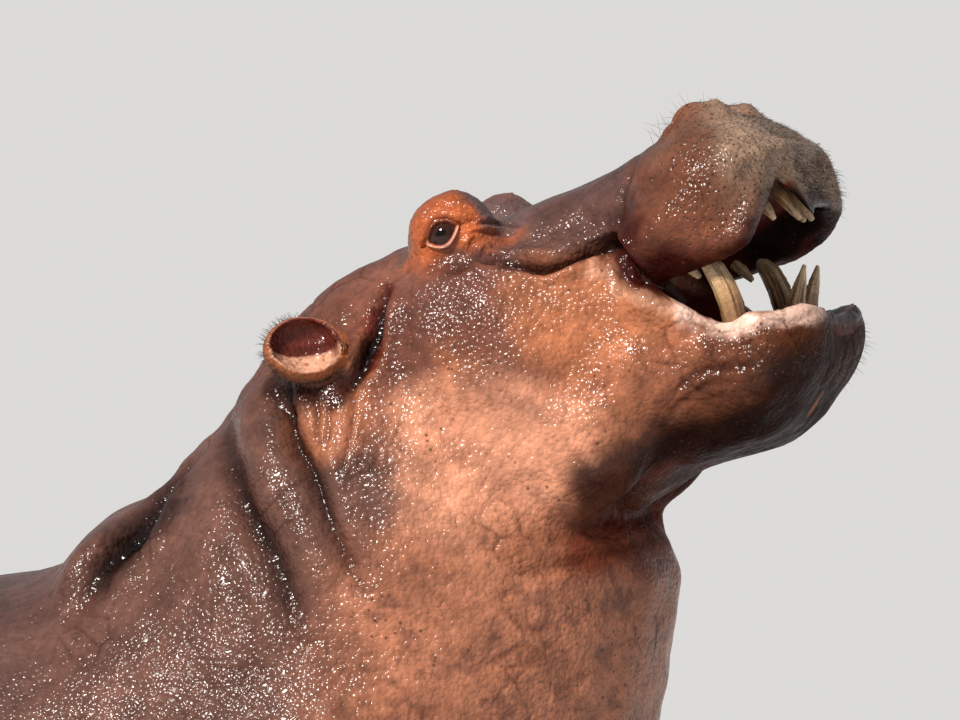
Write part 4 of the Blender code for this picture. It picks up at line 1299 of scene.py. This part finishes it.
def tongue(material):
    """The tongue, with a furrow down its middle, redder edges and small bumps."""
    obj = fine_copy("tongue", TONGUE_VOXEL)
    places = turned_by(coordinates(obj.data), JAW.inverted())
    lift = -0.007 * hill(places[:, 1], 0, 0.010) * step(places[:, 2], -0.235, -0.215)
    lifted(obj.data, lift + 0.0016 * grain(places, 0.014, 2.0) + 0.0022 * grain(places, 0.050, 6.0))
    edge = step(np.abs(places[:, 1]), 0.035, 0.070)
    paint(obj.data, "tongue_colour", mixed(TONGUE_PINK, TONGUE_RED, edge))
    finish_piece(obj, material, "tongue", "tongue")


def toenail(node, material):
    """A broad blunt nail with growth rings, pale at its worn lower edge."""
    obj = fine_copy(node, NAIL_VOXEL)
    co = coordinates(obj.data)
    z = co[:, 2]
    height = (z - z.min()) / np.ptp(z)
    rings = np.sin(height * 26 + 2.0 * grain(co, 0.03, 1.0))
    lifted(obj.data, 0.00035 * rings + 0.0006 * grain(co, 0.008, 3.0))
    paler = 0.8 * step(height, 0.45, 0.05) + 0.12 * (rings > 0.3)
    paint(obj.data, "horn_colour", mixed(NAIL_DARK, NAIL_PALE, paler))
    finish_piece(obj, material, "nail", node)


# ---------------------------------------------------------------- bristles

UV_PATCH = 0.003
FIRST_SEED = 100


def unrolled(places):
    """Each root's place on the skin unrolled round the animal's long axis, 0 to 1 both ways."""
    low, high = np.array(CAD_BOX)
    middle = (low + high) / 2
    round_it = np.arctan2(places[:, 1] - middle[1], places[:, 2] - middle[2]) / (2 * np.pi) + 0.5
    along = (places[:, 0] - low[0]) / (high[0] - low[0])
    return np.stack([0.02 + 0.95 * round_it, 0.02 + 0.95 * along], 1)


def bristles(name, roots, directions, lengths, radius, bend, material):
    """Tapering three-sided bristles as one mesh, each bent along its bend vector."""
    count = len(roots)
    directions = directions / np.linalg.norm(directions, axis=1, keepdims=True)
    side = np.cross(directions, (0.31, 0.53, 0.79))
    side /= np.linalg.norm(side, axis=1, keepdims=True)
    other = np.cross(directions, side)
    points = []
    for share, width in ((-0.10, 1.0), (0.35, 0.8), (0.70, 0.5)):
        reach = lengths[:, None]
        middle = roots + directions * reach * share + bend * reach * max(share, 0) ** 2
        for k in range(3):
            turn = 2 * math.pi * k / 3
            points.append(middle + radius * width * (side * math.cos(turn) + other * math.sin(turn)))
    points.append(roots + directions * lengths[:, None] + bend * lengths[:, None])
    co = np.stack(points, 1).reshape(-1, 3)
    faces = []
    for ring in (0, 3):
        for k in range(3):
            after = (k + 1) % 3
            faces.append((ring + k, ring + after, ring + 3 + after))
            faces.append((ring + k, ring + 3 + after, ring + 3 + k))
    faces += [(6 + k, 6 + (k + 1) % 3, 9) for k in range(3)]
    tris = (np.array(faces)[None] + 10 * np.arange(count)[:, None, None]).reshape(-1, 3)
    mesh = bpy.data.meshes.new(name)
    mesh.from_pydata(co.tolist(), [], tris.tolist())
    layer = mesh.uv_layers.new(name="OFBake")
    corners = values(mesh.loops, "vertex_index", 1, int)[:, 0]
    part = corners % 10
    patch = UV_PATCH * np.stack([(part % 3) / 3 + 0.1, (part // 3) / 3], 1)
    layer.data.foreach_set("uv", (unrolled(roots)[corners // 10] + patch).astype(np.float32).ravel())
    finish_piece(new_object(name, mesh), material, "nail")


def scattered(mesh, weight, count, seed):
    """Places on the mesh's faces, crowded where the weight of its vertices is high, with their normals."""
    mesh.calc_loop_triangles()
    corners = values(mesh.loop_triangles, "vertices", 3, int)
    area = values(mesh.loop_triangles, "area", 1)[:, 0]
    chance = np.cumsum(area * weight[corners].mean(1))
    rng = np.random.default_rng(seed)
    picked = corners[np.searchsorted(chance, rng.random(count) * chance[-1])]
    share = rng.dirichlet((1, 1, 1), count)
    places = (coordinates(mesh)[picked] * share[:, :, None]).sum(1)
    normal = (normals(mesh)[picked] * share[:, :, None]).sum(1)
    return places, normal / np.linalg.norm(normal, axis=1, keepdims=True), rng


def head_way(vector):
    """A direction of the head's frame in the world."""
    return np.array(HEAD_TURN @ Vector(vector))


def all_bristles(mesh, skin):
    """Short dense bristles on the muzzle, long ones on lips and chin, ear fringes and a brush on the tail."""
    material = bristle_material()
    outer = skin.near_head * (1 - skin.mouth)
    down = np.array((0, 0, -1.0))
    x, y, z = skin.head.T
    front = step(x, 0.30, 0.42) * step(z, -0.22, -0.16) * outer
    lip = front * step(z, -0.10, -0.15)
    chin = step(skin.jaw[:, 0], 0.34, 0.43) * step(skin.jaw[:, 2], -0.215, -0.235) * outer
    top = step(length(skin.head - (0.33, 0.07, -0.01)), 0.06, 0.03) * (1 - skin.mouth)
    x, y, z = skin.ear_place.T
    rim = skin.ear * step(np.hypot((x - 0.06) / 0.056, y / 0.047), 0.78, 0.92) * step(x, 0.01, 0.03)
    x, y, z = skin.body.T
    tail = band(z, 0.45, 0.55, 0.62, 0.74) * step(x, -1.16, -1.20)
    groups = [
        # name, weight, count, shortest and longest, radius, lean, bend
        ("muzzle_bristles", front, 3600, (0.003, 0.007), 0.00026, 0.5 * head_way((0.2, 0, -1)), 0.25 * down),
        ("lip_bristles", lip, 160, (0.008, 0.018), 0.00032, 0.4 * head_way((0.6, 0, -1)), 0.3 * down),
        ("chin_bristles", chin, 130, (0.006, 0.018), 0.00024, 0.5 * head_way((0.8, 0, -0.6)), 0.25 * down),
        ("nostril_bristles", top, 44, (0.015, 0.045), 0.00030, 0.3 * head_way((-0.5, 0, 0.6)), 0.10 * down),
        ("ear_fringe", rim, 520, (0.006, 0.014), 0.00035, 0.3 * head_way((-0.5, 0, 0.4)), 0.10 * down),
        ("tail_brush", tail, 900, (0.030, 0.075), 0.00055, 1.4 * down, 0.4 * down),
    ]
    for number, (name, weight, count, sizes, radius, lean, bend) in enumerate(groups):
        places, normal, rng = scattered(mesh, weight**2, count, FIRST_SEED + number)
        way = normal + lean + 0.25 * rng.normal(size=(count, 3))
        bristles(name, places, way, rng.uniform(*sizes, count), radius, bend, material)


def water_film(skin):
    """How thick the film of water is: thin under the head, on the chin and on the throat, so that their shine
    is small and they stay dark as painted shade.
    """
    down = step(-skin.normal[:, 2], 0.0, 0.5)
    under = down * step(skin.body[:, 0], 0.60, 0.80) * step(skin.body[:, 2], 1.2, 1.35)
    chin = step(skin.jaw[:, 0], 0.33, 0.41) * step(skin.jaw[:, 2], -0.210, -0.230) * skin.near_head
    throat = step(to_line(skin.body, [(0.96, 1.36), (1.05, 1.39), (1.14, 1.42)]), 0.07, 0.04)
    return 0.60 - 0.57 * np.maximum.reduce([under, chin, throat])


# ---------------------------------------------------------------- the whole animal

CREASE_SPOTS = ((0.10, 0.15, -0.10), (0.15, 0.16, -0.115), (0.20, 0.16, -0.12))
CHEEK_EDGE_SPOTS = ((0.21, 0.165, -0.155), (0.215, 0.165, -0.19))
NOSTRIL_SPOT = (0.346, 0.072, -0.01)


def refined_skin():
    """The flesh as one skin, its facets smoothed away, with finer squares where there is more to shape."""
    hide = base_skin()
    mesh = hide.data
    co = coordinates(mesh)
    head = local(co, HEAD)
    on_head = step(length(head), 0.70, 0.42)
    on_foot = step(co[:, 2], 0.30, 0.10)
    on_brow = step(length(head - (0.008, 0.125, 0.02)), 0.09, 0.05)
    kept = np.maximum(0.80 * on_head * (1 - 0.75 * on_brow), 0.48 * on_foot)
    low_passed(mesh, 1 - kept, 70)
    co = coordinates(mesh)
    refine(mesh, (co[:, 0] > 0.12) & (co[:, 2] > 1.0))
    softened(mesh, np.ones(len(mesh.vertices)), 3)
    eye_place = local(np.array([EYE["right"]]), HEAD)[0]
    ear_place = turned_by(np.array([EAR_MIDDLE]), ear_frame())[0]
    spots = [("head", eye_place, 0.062), ("head", NOSTRIL_SPOT, 0.060), ("head", ear_place, 0.075)]
    spots += [("head", spot, 0.036) for spot in (*CREASE_SPOTS, *CHEEK_EDGE_SPOTS)]
    refine(mesh, within(coordinates(mesh), spots))
    refine(mesh, within(coordinates(mesh), [("head", eye_place, 0.045)]))
    softened(mesh, within(coordinates(mesh), spots).astype(float), 3)
    return hide


def sculpted_skin(hide):
    """Shapes ears, folds, lips, lids and wrinkles. Returns the skin's masks, how deep in a crack each vertex
    lies and how much painted shade the drawn furrows put on it."""
    mesh = hide.data
    sculpted_ears(mesh)
    tree = BVHTree.FromObject(hide, bpy.context.evaluated_depsgraph_get())
    lift, shade = stroke_lift(tree, coordinates(mesh))
    lifted(mesh, lift)
    raised_lips(mesh)
    eyelids = lids(mesh)
    lift, cracks = wrinkles(Skin(mesh, *eyelids))
    lifted(mesh, lift)
    co = coordinates(mesh)
    co[:, 2] = co[:, 2].clip(0)  # the soles stay on the floor
    set_coordinates(mesh, co)
    return Skin(mesh, *eyelids), cracks, shade


def painted_skin(mesh, skin, cracks, shade):
    """Paints the hide's colours, with painted shade in hollows and furrows, and the detail that its material
    reads.
    """
    links = neighbours(mesh)
    crease_shade = np.maximum(0.8 * hollows(mesh, links, 6, 0.0025), hollows(mesh, links, 30, 0.009))
    # painted shade: darker in hollows and creases, and along the drawn furrows
    colours = markings(skin) * (1 - 0.62 * crease_shade)[:, None] ** np.array((0.8, 1.0, 1.05))
    colours *= (1 - 0.90 * shade)[:, None] ** np.array((0.9, 1.0, 1.0))
    paint(mesh, "hide_colour", colours)
    pores = step(skin.head[:, 0], 0.24, 0.34) * skin.near_head * (1 - skin.mouth) * (1 - lip_edge(skin))
    paint(mesh, "hide_detail", np.stack([np.clip(cracks, 0, 1), pores, skin.mouth, water_film(skin)], 1))


def animal():
    """The hide and all that is set in it or grows on it."""
    hide = refined_skin()
    skin, cracks, shade = sculpted_skin(hide)
    painted_skin(hide.data, skin, cracks, shade)
    finish_piece(hide, hide_material(), "body_hide", *FLESH)
    eye_look, ivory, horn = eye_material(), ivory_material(), horn_material()
    for side in SIDES:
        eyeball(side, eye_look)
    for node in TEETH:
        shaped = cheek_row if "cheek" in node else tusk
        shaped(node, ivory)
    tongue(tongue_material())
    for node in NAILS:
        toenail(node, horn)
    all_bristles(hide.data, skin)


camera()
studio()
animal()
